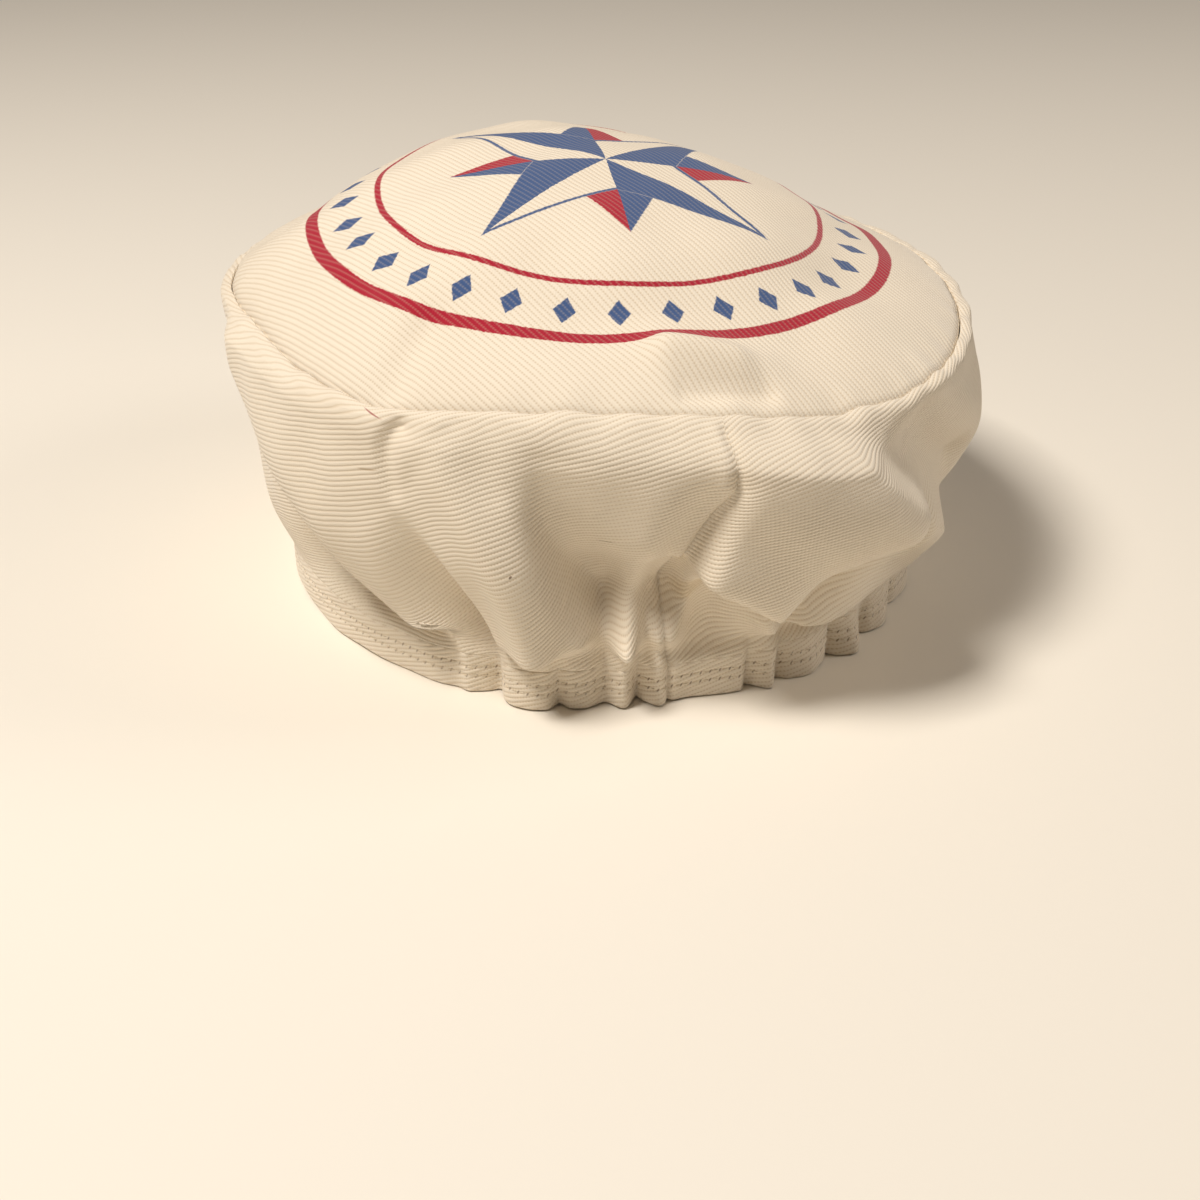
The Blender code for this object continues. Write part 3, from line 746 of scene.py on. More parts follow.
def weave_group():
    """Drill: takes the pattern, the ribs' angle and pitch in metres, gives Height and Gap, both 0 to 1."""
    tree = bpy.data.node_groups.new("drill_weave", "ShaderNodeTree")
    for name, kind, way in (("Pattern", "Vector", "INPUT"), ("Rib Angle", "Float", "INPUT"),
                            ("Rib Pitch", "Float", "INPUT"), ("Height", "Float", "OUTPUT"),
                            ("Gap", "Float", "OUTPUT")):
        tree.interface.new_socket(name, in_out=way, socket_type="NodeSocket" + kind)
    pattern, angle, pitch = list(add(tree, "NodeGroupInput").outputs)[:3]
    place = add(tree, "ShaderNodeSeparateXYZ", [turn_flat(tree, pattern, angle)]).outputs
    wander = noise(tree, pattern, YARN_WANDER_SCALE)[0]
    wander = calculate(tree, "MULTIPLY_ADD", wander, 2 * YARN_WANDER, -YARN_WANDER)
    phase = calculate(tree, "DIVIDE", calculate(tree, "ADD", place["Y"], wander), pitch)
    rib = swell(tree, phase)
    lap = calculate(tree, "DIVIDE", place["X"], FLOAT_PITCH)
    bead = swell(tree, calculate(tree, "MULTIPLY_ADD", calculate(tree, "FLOOR", phase), FLOAT_SHIFT, lap))
    height = calculate(tree, "MULTIPLY", calculate(tree, "POWER", rib, RIB_ROUNDNESS),
                       calculate(tree, "MULTIPLY_ADD", bead, BEAD_SHARE, 1 - BEAD_SHARE))
    height = calculate(tree, "MULTIPLY_ADD", noise(tree, pattern, YARN_GRAIN_SCALE)[0], GRAIN_SHARE, height)
    valley = calculate(tree, "POWER", calculate(tree, "SUBTRACT", 1.0, rib), VALLEY_NARROWNESS)
    hole = calculate(tree, "POWER", calculate(tree, "SUBTRACT", 1.0, bead), HOLE_NARROWNESS)
    hole = calculate(tree, "MULTIPLY", calculate(tree, "MULTIPLY", valley, hole), HOLE_GAP)
    gap = calculate(tree, "MULTIPLY_ADD", valley, VALLEY_GAP, hole)
    add(tree, "NodeGroupOutput", {"Height": height, "Gap": gap})
    return tree


drill_weave = weave_group()
print("ribs", RIB_PITCH / MM, "mm apart, floats", FLOAT_PITCH / MM, "mm long")

# %% [markdown]
# ## Cotton drill
# Bleached cotton drill is quite matt, with a soft bloom at grazing angles from its loose fibres, which is
# the shader's sheen. The ribs stand about a sixth of a millimetre high, so a Bump node carries them.
# Handling leaves broad, faint changes of tone. The valleys and pinholes between the ribs get painted shade:
# their colour is darkened and warmed towards a shade colour.

# %% Drill material
RIB_RELIEF = 0.16 * MM
TONE_SCALE = 1 / (45 * MM)
TONE_SHARE = 0.10
TONE_MIDDLE = 0.4
GAP_SHADE = 0.55
CLOTH_ROUGHNESS = 0.92
CLOTH_SHEEN = 0.25
SPOT_FADE = (1.3, 0.7)


def new_material(name, roughness):
    """A new material, its node tree and its shader."""
    material = bpy.data.materials.new(name)
    material.use_nodes = True
    shader = material.node_tree.nodes["Principled BSDF"]
    shader.inputs["Roughness"].default_value = roughness
    return material, material.node_tree, shader


def relief(tree, shader, height, distance, strength=1.0):
    """Let a height, in shares of a distance, tilt the shader's normal."""
    bump = add(tree, "ShaderNodeBump", {"Strength": strength, "Distance": distance, "Height": height})
    tree.links.new(bump.outputs[0], shader.inputs["Normal"])


def mix_colours(tree, factor, first, second):
    """The colour output of a Mix node between two colours, each a value or a socket."""
    item = add(tree, "ShaderNodeMix", data_type="RGBA")
    sockets = {socket.identifier: socket for socket in item.inputs}
    for key, value in (("Factor_Float", factor), ("A_Color", first), ("B_Color", second)):
        if isinstance(value, bpy.types.NodeSocket):
            tree.links.new(value, sockets[key])
        else:
            sockets[key].default_value = value
    return next(socket for socket in item.outputs if socket.identifier == "Result_Color")


def spots(tree, pattern, colour, rows):
    """Small soft marks over a colour. A row: place, half length, half width, turn, colour, strength."""
    for place, half_length, half_width, turn, mark_colour, strength in rows:
        turned = turn_flat(tree, vector(tree, "SUBTRACT", pattern, (*place, 0)), radians(-turn))
        shrunk = vector(tree, "MULTIPLY", turned, (1 / half_length, 1 / half_width, 0))
        distance = add(tree, "ShaderNodeVectorMath", [shrunk], operation="LENGTH").outputs["Value"]
        mask = soft_mask(tree, distance, *SPOT_FADE, strength)
        colour = mix_colours(tree, mask, colour, mark_colour)
    return colour


def drill(name, rib_angle, paint=None, rib_pitch=RIB_PITCH):
    """Bleached cotton drill. paint may add a print, from tree, pattern, gap and colour to a colour."""
    material, tree, shader = new_material(name, CLOTH_ROUGHNESS)
    pattern = add(tree, "ShaderNodeUVMap", uv_map="pattern").outputs[0]
    weave = add(tree, "ShaderNodeGroup", [pattern, radians(rib_angle), rib_pitch], node_tree=drill_weave)
    tone = noise(tree, pattern, TONE_SCALE, 3.0)[0]
    tone = calculate(tree, "MULTIPLY", calculate(tree, "SUBTRACT", tone, TONE_MIDDLE), 2 * TONE_SHARE)
    # Painted shade: the weave's gaps darken and warm the colour, on top of the random tone from handling
    shade = calculate(tree, "MULTIPLY_ADD", weave.outputs["Gap"], GAP_SHADE, tone)
    colour = mix_colours(tree, shade, CLOTH_COLOUR, VALLEY_SHADE_AND_TWIST_TONE)
    if paint:
        colour = paint(tree, pattern, weave.outputs["Gap"], colour)
    tree.links.new(colour, shader.inputs["Base Color"])
    relief(tree, shader, weave.outputs["Height"], RIB_RELIEF)
    shader.inputs["Specular IOR Level"].default_value = 0.3
    shader.inputs["Sheen Weight"].default_value = CLOTH_SHEEN
    shader.inputs["Sheen Roughness"].default_value = 0.5
    return material


# %% [markdown]
# A worn cap has small marks: specks, a pulled thread, a faint stain. Each is a soft oval in the pattern, at
# the place of an azimuth and a share of the wall's height, which are looked up in the band's grid.

# %% Marks on the band
Mark = namedtuple("Mark", "azimuth up half_length half_width turn colour strength")
MARKS = (
    Mark(-22.1, 0.59, 0.50, 0.28, 30, "6B5138", 0.85),
    Mark(-10.0, 0.62, 2.30, 0.13, 4, "7D6446", 0.65),
    Mark(4.7, 0.74, 0.45, 0.22, 60, "8A7050", 0.70),
    Mark(-42.9, 0.78, 3.00, 0.30, 8, "A08358", 0.50),
    Mark(3.3, 0.40, 5.00, 3.50, 20, "C9AE7E", 0.30),
    Mark(-42.6, 0.95, 2.40, 0.24, -28, "9C2A30", 0.80),
)


def pattern_at(azimuth, up):
    """The band pattern's place for an azimuth and a share of the wall's height."""
    row = int(np.abs(band_points[..., 2].mean(1) - up * WALL_HEIGHT).argmin())
    plan = band_points[row, :, :2]
    here = np.degrees(np.arctan2(plan[:, 0] / OPENING_HALF_WIDTH, -plan[:, 1] / OPENING_HALF_LENGTH))
    column = int(np.abs(apart(here, azimuth)).argmin())
    return tuple(float(x) for x in band_pattern[row, column])


def band_marks(tree, pattern, gap, colour):
    """The band's colour with its small marks."""
    rows = [(pattern_at(mark.azimuth, mark.up), mark.half_length * MM, mark.half_width * MM, mark.turn,
             linear(mark.colour), mark.strength) for mark in MARKS]
    return spots(tree, pattern, colour, rows)


BAND_RIB_ANGLE = -17
band_drill = drill("cotton_drill_band", BAND_RIB_ANGLE, band_marks)
print(len(MARKS), "marks on the band")

# %% The band cloth
side_cloth = cloth("side_band_cloth", band_points, band_pattern, CLOTH_THICKNESS, [band_drill])
finish_piece(side_cloth, "side_drill", "side_band")

# %% [markdown]
# ## The print
# The crown carries a two-colour screen print. It is drawn from distances and angles in the crown's flat
# pattern: a heavy ring, a row of lozenges, a thin ring and an eight-pointed star. Screen ink lies on top
# of the ribs and misses some of the holes between them, so the weave shows through and the edges are rough.

# %% Print
PRINT_WIDTH = 168 * MM
PRINT_LENGTH = 152 * MM
PRINT_AHEAD = -10 * MM
RING_WEIGHT = 4.0 * MM
THIN_RING_AT = 0.76
THIN_RING_WEIGHT = 1.8 * MM
LOZENGES = 32
LOZENGE_AT = 0.88
LOZENGE_HALF_HEIGHT = 4.6 * MM
LOZENGE_HALF_WIDTH = 3.1 * MM
STAR_REACH = 0.66
STAR_WAIST = 0.24
STAR_POINTS = 4
SLANT_STAR_SHARE = 0.78
STAR_OUTLINE = 1.2 * MM
INK_EDGE = 0.18 * MM
INK_WANDER = 0.35 * MM
INK_MISS = 0.22


def print_mask(tree, depth):
    """1 where depth in metres is well above 0, 0 below, with a soft edge as wide as INK_EDGE."""
    return soft_mask(tree, depth, -INK_EDGE, INK_EDGE)


def band_mask(tree, distance, middle, weight):
    """Mask of a line of this weight round where distance equals middle."""
    off = calculate(tree, "ABSOLUTE", calculate(tree, "SUBTRACT", distance, middle))
    return print_mask(tree, calculate(tree, "SUBTRACT", weight / 2, off))


def star_depth(tree, radius, turn, reach, waist, offset):
    """How deep inside a straight-edged star a place lies, in metres, and which side of its ray."""
    half_turn = pi / STAR_POINTS
    turned = calculate(tree, "ADD", turn, offset)
    fold = calculate(tree, "PINGPONG", turned, half_turn)
    x, y = (calculate(tree, "MULTIPLY", radius, calculate(tree, way, fold)) for way in ("COSINE", "SINE"))
    waist_x, waist_y = waist * np.cos(half_turn), waist * np.sin(half_turn)
    edge = np.array([waist_y, reach - waist_x]) / np.hypot(waist_y, reach - waist_x)
    depth = calculate(tree, "SUBTRACT", float(edge[0] * reach),
                      calculate(tree, "MULTIPLY_ADD", x, float(edge[0]),
                                calculate(tree, "MULTIPLY", y, float(edge[1]))))
    lap = calculate(tree, "FRACT", calculate(tree, "DIVIDE", turned, 2 * half_turn))
    return depth, calculate(tree, "GREATER_THAN", lap, 0.5)


def star_print(tree, pattern, gap, colour):
    """Lay the red and blue print over the cloth's colour."""
    ragged = vector(tree, "SUBTRACT", noise(tree, pattern, YARN_GRAIN_SCALE / 2)["Color"], (0.5, 0.5, 0.5))
    shift = vector(tree, "MULTIPLY", ragged, (2 * INK_WANDER,) * 3)
    place = add(tree, "ShaderNodeSeparateXYZ", [vector(tree, "ADD", pattern, shift)]).outputs
    x = place["X"]
    y = calculate(tree, "SUBTRACT", place["Y"], PRINT_AHEAD)
    y = calculate(tree, "MULTIPLY", y, PRINT_WIDTH / PRINT_LENGTH)
    radius = reach_of(tree, x, y)
    turn = calculate(tree, "ARCTAN2", y, x)
    half = PRINT_WIDTH / 2
    heavy = band_mask(tree, radius, half, RING_WEIGHT)
    thin = band_mask(tree, radius, half * THIN_RING_AT, THIN_RING_WEIGHT)
    lap = calculate(tree, "FRACT", calculate(tree, "MULTIPLY", turn, LOZENGES / (2 * pi)))
    aside = calculate(tree, "MULTIPLY", calculate(tree, "ABSOLUTE", calculate(tree, "SUBTRACT", lap, 0.5)),
                      2 * pi * half * LOZENGE_AT / LOZENGES / LOZENGE_HALF_WIDTH)
    beyond = calculate(tree, "ABSOLUTE", calculate(tree, "SUBTRACT", radius, half * LOZENGE_AT))
    beyond = calculate(tree, "DIVIDE", beyond, LOZENGE_HALF_HEIGHT)
    inside = calculate(tree, "SUBTRACT", 1.0, calculate(tree, "ADD", aside, beyond))
    lozenge = print_mask(tree, calculate(tree, "MULTIPLY", inside, LOZENGE_HALF_WIDTH))
    reach, waist = half * STAR_REACH, half * STAR_WAIST
    main_depth, main_side = star_depth(tree, radius, turn, reach, waist, pi / STAR_POINTS)
    slant_depth, slant_side = star_depth(tree, radius, turn, reach * SLANT_STAR_SHARE, waist, 0.0)
    main_star = print_mask(tree, main_depth)
    bare = calculate(tree, "SUBTRACT", 1.0, main_star)
    slant_star = calculate(tree, "MULTIPLY", print_mask(tree, slant_depth), bare)
    core = print_mask(tree, calculate(tree, "SUBTRACT", main_depth, STAR_OUTLINE))
    main_side = calculate(tree, "MAXIMUM", main_side, calculate(tree, "SUBTRACT", 1.0, core))
    other_side = calculate(tree, "SUBTRACT", 1.0, slant_side)
    red = calculate(tree, "MAXIMUM", heavy, thin)
    red = calculate(tree, "MAXIMUM", red, calculate(tree, "MULTIPLY", slant_star, slant_side))
    blue = calculate(tree, "MAXIMUM", lozenge, calculate(tree, "MULTIPLY", main_star, main_side))
    blue = calculate(tree, "MAXIMUM", blue, calculate(tree, "MULTIPLY", slant_star, other_side))
    cover = calculate(tree, "SUBTRACT", 1.0, calculate(tree, "MULTIPLY", gap, INK_MISS))
    colour = mix_colours(tree, calculate(tree, "MULTIPLY", red, cover), colour, INK_RED)
    return mix_colours(tree, calculate(tree, "MULTIPLY", blue, cover), colour, INK_BLUE)


CROWN_RIB_ANGLE = 58
CROWN_RIB_PITCH = 1.55 * MM
crown_drill = drill("cotton_drill_printed", CROWN_RIB_ANGLE, star_print, CROWN_RIB_PITCH)
plain_drill = drill("cotton_drill_inside", CROWN_RIB_ANGLE, None, CROWN_RIB_PITCH)
print("print", PRINT_WIDTH / MM, "by", PRINT_LENGTH / MM, "mm")

# %% [markdown]
# ## The crown panel
# The panel is an oval that domes over the head, with shallow hollows where it sags between its supports.
# Its rows run from the middle to the edge, and the last of them turn down into the seam. Its pattern keeps
# the distance from the middle along the cloth, so that the print lies on it without stretching.

# %% Crown cloth
CROWN_ROW_COUNT = 60
CROWN_FIRST_ROW = 0.02
DENT_FADE = 0.28
PUCKER_FADE = 0.08
SEAM_DIP = 0.0004
SEAM_DIP_SHARE = 0.03
CROWN_UNEVENNESS = 0.0007
CROWN_UNEVENNESS_LENGTH = 0.035


def crown_points(azimuth):
    """Outer face of the crown panel, from round its middle to the lip inside the seam, and its pole."""
    seam = seam_line(azimuth)
    smooth = seam_line(azimuth, 0.0)[:, 2]
    share = np.linspace(CROWN_FIRST_ROW, 1, CROWN_ROW_COUNT)[:, None]
    middle = np.array([DOME_ASIDE * CROWN_HALF_WIDTH, DOME_AHEAD * CROWN_HALF_LENGTH])
    level = seam[:, 2].mean()
    plan = middle * (1 - share[..., None]) + seam[:, :2] * share[..., None]
    fullness = Section(None, *section_at(azimuth).T).dome
    height = level + (smooth - level) * share ** 2 + DOME_RISE * (1 - share ** 2) ** fullness
    height = height + (seam[:, 2] - smooth) * smooth_step(1 - (1 - share) / PUCKER_FADE)
    for dents, fade_share in ((DENTS, DENT_FADE), (FINE_DENTS, SEAM_DIP_SHARE)):
        fade = np.clip((1 - share) / fade_share, 0, 1)
        for dent in dents:
            start, end = (np.array(p) * (CROWN_HALF_WIDTH, CROWN_HALF_LENGTH) for p in (dent.start, dent.end))
            step = end - start
            t = np.clip((plan - start) @ step / (step @ step), 0, 1)
            off = np.linalg.norm(plan - start - t[..., None] * step, axis=-1)
            height = height + dent.rise * DOME_RISE * fade * bell(off, dent.width * CROWN_HALF_WIDTH)
    calm = np.clip((1 - share) / DENT_FADE, 0, 1)
    height = height + calm * CROWN_UNEVENNESS * waves(plan, CROWN_UNEVENNESS_LENGTH, 5)
    height = height - SEAM_DIP * smooth_step(1 - (1 - share) / SEAM_DIP_SHARE)
    lip = seam - (0, 0, SEAM_LIP)
    return np.concatenate([raised(plan, height), [lip]]), np.append(middle, level + DOME_RISE)


crown_rows, crown_pole = crown_points(roll_azimuth)
spokes = np.concatenate([np.broadcast_to(crown_pole, (1, *crown_rows.shape[1:])), crown_rows])
reach = lengths(spokes, 0)[1:]
heading = crown_rows[-1, :, :2] - crown_pole[:2]
heading /= np.linalg.norm(heading, axis=-1, keepdims=True)
crown_pattern = reach[..., None] * heading + crown_pole[:2]
crown_pattern = np.concatenate([crown_pattern, crown_pattern[:, :1]], axis=1)
crown_cloth = cloth("crown_cloth", crown_rows, crown_pattern, CLOTH_THICKNESS, [crown_drill, plain_drill],
                    pole=(crown_pole, crown_pole[:2]))
finish_piece(crown_cloth, "crown_drill", "crown_top")

# %% [markdown]
# ## The hem
# The band's lower edge is turned up twice over the elastic and sewn with two rows of stitches, so it is
# a thick, round-edged strip. Its section is a short list of places round its outline, in shares of its
# height and thickness. The outer face dips a little under each row of stitches.

# %% Hem cloth
HEM_CORNER = 0.0005
HEM_FACE_ROWS = 22
HEM_CORNER_ROWS = 4
HEM_BACK_ROWS = 4
STITCH_PITCH = 2.7 * MM
STITCH_ROWS = (0.0050, 0.0078)
# Painted shade inside the needle holes
HOLE_SHADE_COLOUR = linear("7A6147")
HOLE_HALF_LENGTH = 0.55 * MM
HOLE_HALF_WIDTH = 0.26 * MM
HOLE_SLANT = -0.5
HOLE_STRENGTH = 0.75
HOLE_FADE = (1.3, 0.6)
STITCH_DIP = 0.00028
STITCH_DIP_WIDTH = 0.0006
HEM_UNEVENNESS = 0.0004
HEM_UNEVENNESS_LENGTH = 0.018
HEM_LIFT = 0.0007
HEM_LIFT_LENGTH = 0.0288
HEM_ANGLE = -18


def hem_outline():
    """The hem's section, once round from the top of the outer face: inward distance and height."""
    turn = np.linspace(0, pi / 2, HEM_CORNER_ROWS + 1)
    face = np.linspace(HEM_HEIGHT - HEM_CORNER, HEM_CORNER, HEM_FACE_ROWS)
    corner_in = HEM_CORNER * (1 - np.cos(turn))
    corner_up = HEM_CORNER * (1 - np.sin(turn))
    outer = np.stack([np.zeros(HEM_FACE_ROWS), face], -1)
    foot_out = np.stack([corner_in, corner_up], -1)[1:]
    foot_in = np.stack([HEM_THICKNESS - corner_in, corner_up], -1)[::-1][1:]
    back = np.linspace(HEM_CORNER, HEM_HEIGHT - HEM_CORNER, HEM_BACK_ROWS + 1)[1:]
    inner = np.stack([np.full(HEM_BACK_ROWS, HEM_THICKNESS), back], -1)
    top_in = np.stack([HEM_THICKNESS - corner_in, HEM_HEIGHT - corner_up], -1)[1:]
    top_out = np.stack([corner_in, HEM_HEIGHT - corner_up], -1)[::-1][1:-1]
    return np.concatenate([outer, foot_out, foot_in, inner, top_in, top_out])


def hem_face(height, inward=0.0):
    """A row of points on the hem's outer face, or this far behind it."""
    push = ruffle_push(hem_azimuth, height) - ruffle_push(hem_azimuth, HEM_HEIGHT)
    dip = sum(STITCH_DIP * bell(height - row, STITCH_DIP_WIDTH) for row in STITCH_ROWS)
    place = np.stack([hem_azimuth * ARC_PER_DEGREE, np.full(len(hem_azimuth), height)], -1)
    down = 1 - height / HEM_HEIGHT
    push = push + HEM_UNEVENNESS * waves(place, HEM_UNEVENNESS_LENGTH, 17) * smooth_step(2 * down)
    lift = HEM_LIFT * (1 + waves(place, HEM_LIFT_LENGTH, 23)) / 2 * down
    plan = band_wall[-1, :, :2] + hem_side[:, :2] * (push - inward - dip * (inward == 0))[:, None]
    return raised(plan, np.maximum(height + lift, 0))


def needle_hole_shade(tree, pattern, gap, colour):
    """The hem's colour with painted shade in a small slanted needle hole between every two stitches of both
    rows.
    """
    place = add(tree, "ShaderNodeSeparateXYZ", [pattern]).outputs
    pitch = hem_length / int(hem_length / STITCH_PITCH)
    for height in STITCH_ROWS:
        below = calculate(tree, "ADD", place["Y"], HEM_HEIGHT - HEM_CORNER - height)
        lap = calculate(tree, "FRACT", calculate(tree, "DIVIDE", place["X"], pitch))
        aside = calculate(tree, "MULTIPLY", calculate(tree, "SUBTRACT", lap, 0.5), pitch)
        aside = calculate(tree, "MULTIPLY_ADD", below, HOLE_SLANT, aside)
        distance = reach_of(tree, calculate(tree, "DIVIDE", aside, HOLE_HALF_WIDTH),
                            calculate(tree, "DIVIDE", below, HOLE_HALF_LENGTH))
        # Painted shade: each needle hole is a dark slanted spot of shade colour
        hole = soft_mask(tree, distance, *HOLE_FADE, HOLE_STRENGTH)
        colour = mix_colours(tree, hole, colour, HOLE_SHADE_COLOUR)
    return colour


hem_points = np.stack([hem_face(height, inward) for inward, height in hem_outline()])
loop = np.concatenate([hem_points, hem_points[:1]])
hem_run = lengths(np.concatenate([loop[:1], loop[:1, :1]], axis=1), 1)
hem_length = float(hem_run[0, -1])
hem_pattern = np.stack(np.broadcast_arrays(hem_run, -lengths(loop, 0).mean(1)[:, None]), -1)
hem_drill = drill("cotton_drill_hem", HEM_ANGLE, needle_hole_shade)
hem_cloth = cloth("rim_hem_cloth", loop, hem_pattern, 0, [hem_drill])
weld(hem_cloth)
finish_piece(hem_cloth, "hem_drill", "rim_hem")
print("hem", round(hem_length / MM), "mm round")

# %% [markdown]
# ## The peak
# The peak is two layers of drill over a stiff core, sewn together with rows of stitches that run parallel
# to its front edge. The photo hides it, so it is plain. A flat sheet gets its thickness from Solidify and
# its round edge from Bevel, and only then is it bent into its arch, as the sewn peak is.

# %% Peak cloth
PEAK_HALF_ANGLE = 58.0
PEAK_DEPTH = 0.058
PEAK_FLARE = 0.004
PEAK_THICKNESS = 0.003
PEAK_ARCH_SHARE = 0.75
PEAK_DROP_SHARE = 0.35
PEAK_COLUMNS = 96
PEAK_ROWS = 64
PEAK_EDGE = 0.0011
PEAK_EDGE_SEGMENTS = 3
PEAK_EDGE_ANGLE = 50
PEAK_STITCH_SHARES = (0.34, 0.48, 0.62, 0.76, 0.90)
PEAK_GROOVE = 0.00035
PEAK_GROOVE_WIDTH = 0.0011
PEAK_RIB_ANGLE = 40


def peak_plan(share):
    """Rows of plan points at these shares of the way from the hem out to the front edge."""
    t = np.linspace(1, -1, PEAK_COLUMNS + 1)
    azimuth = 180 - t * PEAK_HALF_ANGLE
    root = oval(azimuth, OPENING_HALF_WIDTH, OPENING_HALF_LENGTH) + PIECE_GAP * outward(azimuth)
    corner_x, corner_y = root[0]
    ahead = OPENING_HALF_LENGTH + PEAK_DEPTH - corner_y
    front_x, front_y = (corner_x + PEAK_FLARE) * np.sin(t * pi / 2), corner_y + ahead * np.cos(t * pi / 2)
    front = np.column_stack([front_x, front_y])
    share = np.reshape(share, (-1, 1, 1))
    return root * (1 - share) + front * share


def arch(points):
    """Lift flat points into the peak's arch: highest in the middle of the hem, down on its corners."""
    corner = peak_plan([0.0])[0, 0]
    reach_x = corner[0] + PEAK_FLARE
    ahead = (points[..., 1] - corner[1]) / (OPENING_HALF_LENGTH + PEAK_DEPTH - corner[1])
    rise = PEAK_ARCH_SHARE * (HEM_HEIGHT - PEAK_THICKNESS)
    lift = rise * (1 - (points[..., 0] / reach_x) ** 2) * (1 - PEAK_DROP_SHARE * ahead ** 2)
    return raised(points[..., :2], points[..., 2] + lift)


def peak_cloth():
    """The peak as one mesh, stitched grooves on its upper face."""
    share = np.linspace(0, 1, PEAK_ROWS + 1)
    plan = peak_plan(share)
    depth = sum(bell((share - row) * PEAK_DEPTH, PEAK_GROOVE_WIDTH) for row in PEAK_STITCH_SHARES)
    points = raised(plan, (PEAK_THICKNESS - PEAK_GROOVE * depth)[:, None])
    piece = cloth("peak_cloth", points, plan, PEAK_THICKNESS, [drill("cotton_drill_peak", PEAK_RIB_ANGLE)])
    edge = piece.modifiers.new("edge", "BEVEL")
    edge.width = PEAK_EDGE
    edge.segments = PEAK_EDGE_SEGMENTS
    edge.limit_method = "ANGLE"
    edge.angle_limit = radians(PEAK_EDGE_ANGLE)
    apply_modifiers(piece)
    place = np.empty(len(piece.data.vertices) * 3, np.float32)
    piece.data.vertices.foreach_get("co", place)
    place = arch(place.reshape(-1, 3).astype(float))
    piece.data.vertices.foreach_set("co", np.maximum(place, (-1, -1, 0)).astype(np.float32).ravel())
    piece.data.shade_smooth()
    return piece


peak = peak_cloth()
finish_piece(peak, "peak_drill", "peak")

# %% [markdown]
# ## Stitches
# Stitches repeat along a line, which is what Geometry Nodes are for. The tree takes a polyline, sets
# points a stitch apart on it, and puts a short rounded thread on each, turned along the line. The threads
# are realized and given their material, because an export drops instances.

# %% Thread material
THREAD_TWIST_SCALE = 1 / (0.6 * MM)
THREAD_RELIEF = 0.1 * MM
THREAD_RELIEF_STRENGTH = 0.6
THREAD_ROUGHNESS = 0.7


def thread_material():
    """Spun polyester-cotton thread: a little smoother and paler than the cloth, with a twisted surface."""
    material, tree, shader = new_material("sewing_thread", THREAD_ROUGHNESS)
    twist = noise(tree, add(tree, "ShaderNodeTexCoord").outputs["Object"], THREAD_TWIST_SCALE)[0]
    tree.links.new(mix_colours(tree, twist, THREAD_COLOUR, VALLEY_SHADE_AND_TWIST_TONE), shader.inputs["Base Color"])
    relief(tree, shader, twist, THREAD_RELIEF, THREAD_RELIEF_STRENGTH)
    return material


# %% Stitch tree
STITCH_LENGTH = 1.9 * MM
STITCH_WIDTH = 0.42 * MM
STITCH_VARIETY = (0.85, 1.1)


def stitch_tree():
    """Threads along a polyline. Inputs: Pitch, Length, Width, Seed and Material."""
    tree = bpy.data.node_groups.new("stitches", "GeometryNodeTree")
    for name, kind in (("Geometry", "Geometry"), ("Pitch", "Float"), ("Length", "Float"),
                       ("Width", "Float"), ("Seed", "Int"), ("Material", "Material")):
        tree.interface.new_socket(name, in_out="INPUT", socket_type="NodeSocket" + kind)
    tree.interface.new_socket("Geometry", in_out="OUTPUT", socket_type="NodeSocketGeometry")
    entry = add(tree, "NodeGroupInput").outputs
    line = add(tree, "GeometryNodeMeshToCurve", {"Mesh": entry["Geometry"]}).outputs[0]
    spots = add(tree, "GeometryNodeResampleCurve", {"Curve": line, "Length": entry["Pitch"]}, mode="LENGTH")
    thread = add(tree, "GeometryNodeMeshUVSphere", {"Segments": 6, "Rings": 5, "Radius": 0.5}).outputs[0]
    turn = add(tree, "FunctionNodeAlignRotationToVector",
               {"Vector": add(tree, "GeometryNodeInputTangent").outputs[0]}, axis="X").outputs[0]
    vary = add(tree, "FunctionNodeRandomValue", {"Seed": entry["Seed"]})
    floats = [socket for socket in vary.inputs if socket.type == "VALUE"]
    floats[0].default_value, floats[1].default_value = STITCH_VARIETY
    length = calculate(tree, "MULTIPLY", entry["Length"], next(o for o in vary.outputs if o.type == "VALUE"))
    size = add(tree, "ShaderNodeCombineXYZ", [length, entry["Width"], entry["Width"]]).outputs[0]
    threads = add(tree, "GeometryNodeInstanceOnPoints", {"Points": spots.outputs[0], "Instance": thread,
                                                         "Rotation": turn, "Scale": size}).outputs[0]
    real = add(tree, "GeometryNodeRealizeInstances", [threads]).outputs[0]
    dressed = add(tree, "GeometryNodeSetMaterial", {"Geometry": real, "Material": entry["Material"]})
    add(tree, "NodeGroupOutput", [dressed.outputs[0]])
    return tree


# %% Sewing
def sew(name, lines, slot, pitch=STITCH_PITCH, length=STITCH_LENGTH, width=STITCH_WIDTH, seed=1):
    """One mesh of stitches along polylines, each a (points, closed) pair."""
    vertices, edges = [], []
    for points, closed in lines:
        first = len(vertices)
        vertices += points.tolist()
        edges += [(k, k + 1) for k in range(first, len(vertices) - 1)]
        if closed:
            edges.append((len(vertices) - 1, first))
    mesh = bpy.data.meshes.new(name)
    mesh.from_pydata(vertices, edges, [])
    piece = new_object(name, mesh)
    modifier = piece.modifiers.new("stitches", "NODES")
    modifier.node_group = stitches
    values = {"Pitch": pitch, "Length": length, "Width": width, "Seed": seed, "Material": thread}
    for socket in stitches.interface.items_tree:
        if socket.in_out == "INPUT" and socket.name in values:
            modifier[socket.identifier] = values[socket.name]
    apply_modifiers(piece)
    piece.data.shade_smooth()
    finish_piece(piece, slot)


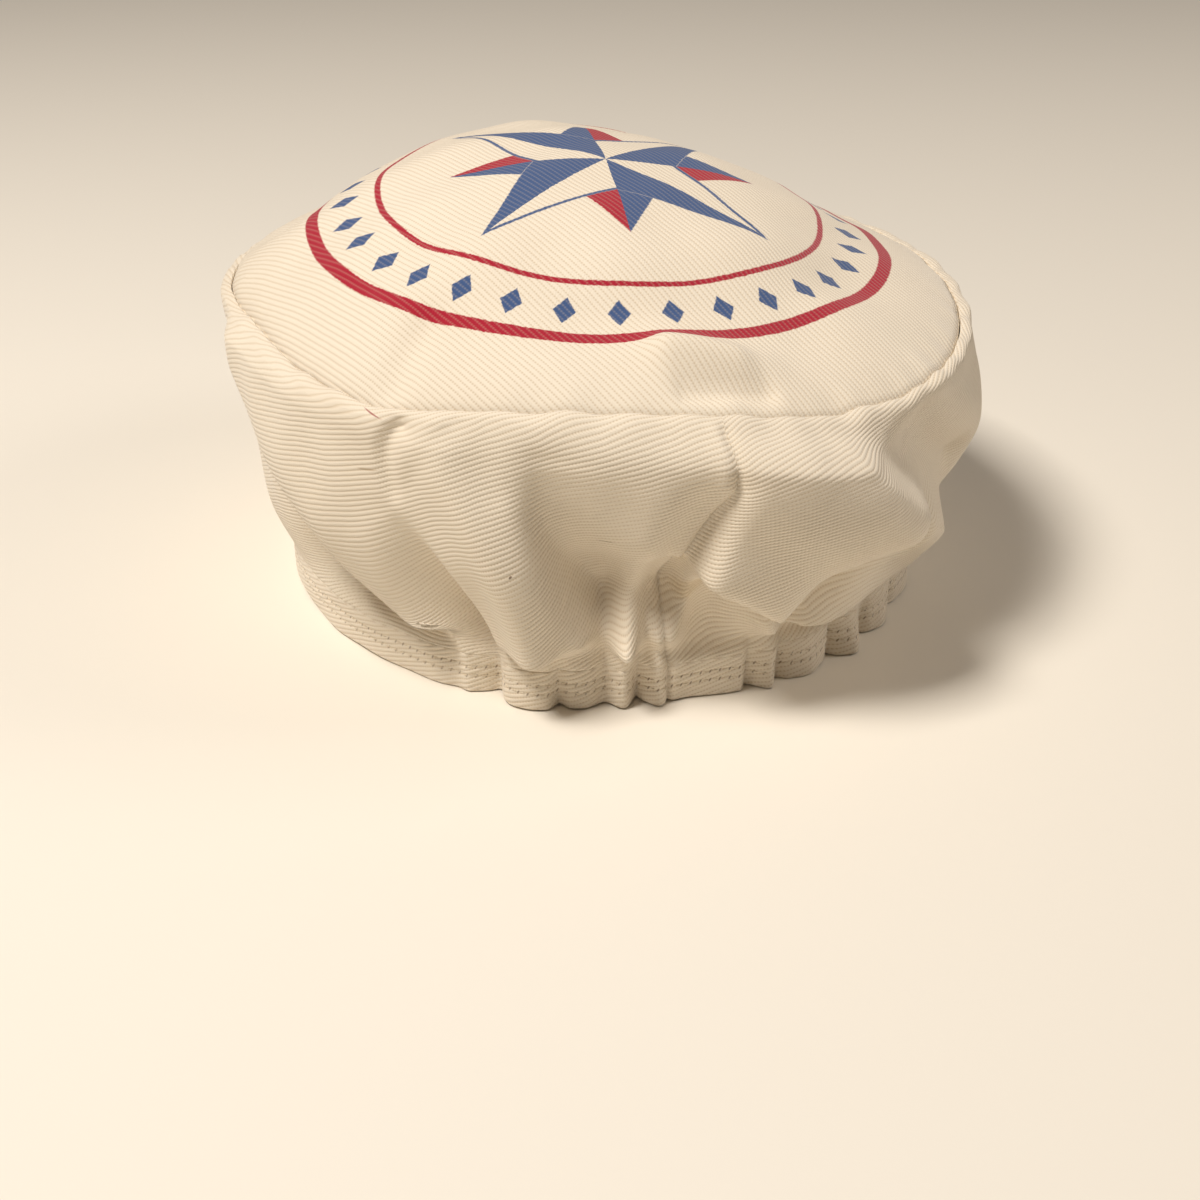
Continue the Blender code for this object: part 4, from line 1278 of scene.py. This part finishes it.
PEAK_LINE_ENDS = 2
SEAM_FIRST_ROW = len(EDGE_SHARES) + 3
SEAM_LAST_ROWS = 4
thread = thread_material()
stitches = stitch_tree()
sew("hem_stitches", [(hem_face(row), True) for row in STITCH_ROWS], "hem_drill", seed=4)
peak_lines = []
for share in PEAK_STITCH_SHARES:
    groove = arch(raised(peak_plan([share])[0], PEAK_THICKNESS - PEAK_GROOVE))
    peak_lines.append((groove[PEAK_LINE_ENDS:-PEAK_LINE_ENDS], False))
sew("peak_stitches", peak_lines, "peak_drill", seed=9)
seam_down = band_points[SEAM_FIRST_ROW:-SEAM_LAST_ROWS, 0]
sew("back_seam_stitches", [(seam_down, False)], "side_drill", pitch=2.2 * MM, length=1.5 * MM,
    width=0.35 * MM, seed=6)

# %% [markdown]
# ## The studio
# The photo has a plain pale background and warm light from the upper left, with a weaker light from the
# right. Two area lamps give them, and a pale floor and a faint warm sky fill the shadows.

# %% Floor, lamps and sky
FLOOR_HALF = 3.0
LAMPS = (
    ("key", (-0.62, -0.24, 1.30), 0.40, 21.0, "FFF8F0"),
    ("right", (1.30, -0.15, 0.90), 0.60, 6.0, "FFF8F0"),
)
SKY_COLOUR = linear("FFEBDC")
SKY_STRENGTH = 0.09
bpy.context.scene.view_settings.view_transform = "Standard"

bpy.ops.mesh.primitive_plane_add(size=2 * FLOOR_HALF, location=(0, 0, 0))
floor = bpy.context.object
floor.name = "floor"
pale, _, paper = new_material("matt_paper", 1.0)
paper.inputs["Base Color"].default_value = linear("EDE7DB")
floor.data.materials.append(pale)
for name, place, size, power, colour in LAMPS:
    lamp = bpy.data.lights.new(name, "AREA")
    lamp.size = size
    lamp.energy = power
    lamp.color = linear(colour)[:3]
    item = new_object(name, lamp)
    item.location = place
    item.rotation_euler = (-Vector(place)).to_track_quat("-Z", "Y").to_euler()
world = bpy.data.worlds.new("studio")
world.use_nodes = True
sky = world.node_tree.nodes["Background"].inputs
sky["Color"].default_value = SKY_COLOUR
sky["Strength"].default_value = SKY_STRENGTH
bpy.context.scene.world = world
print(len(LAMPS), "lamps")
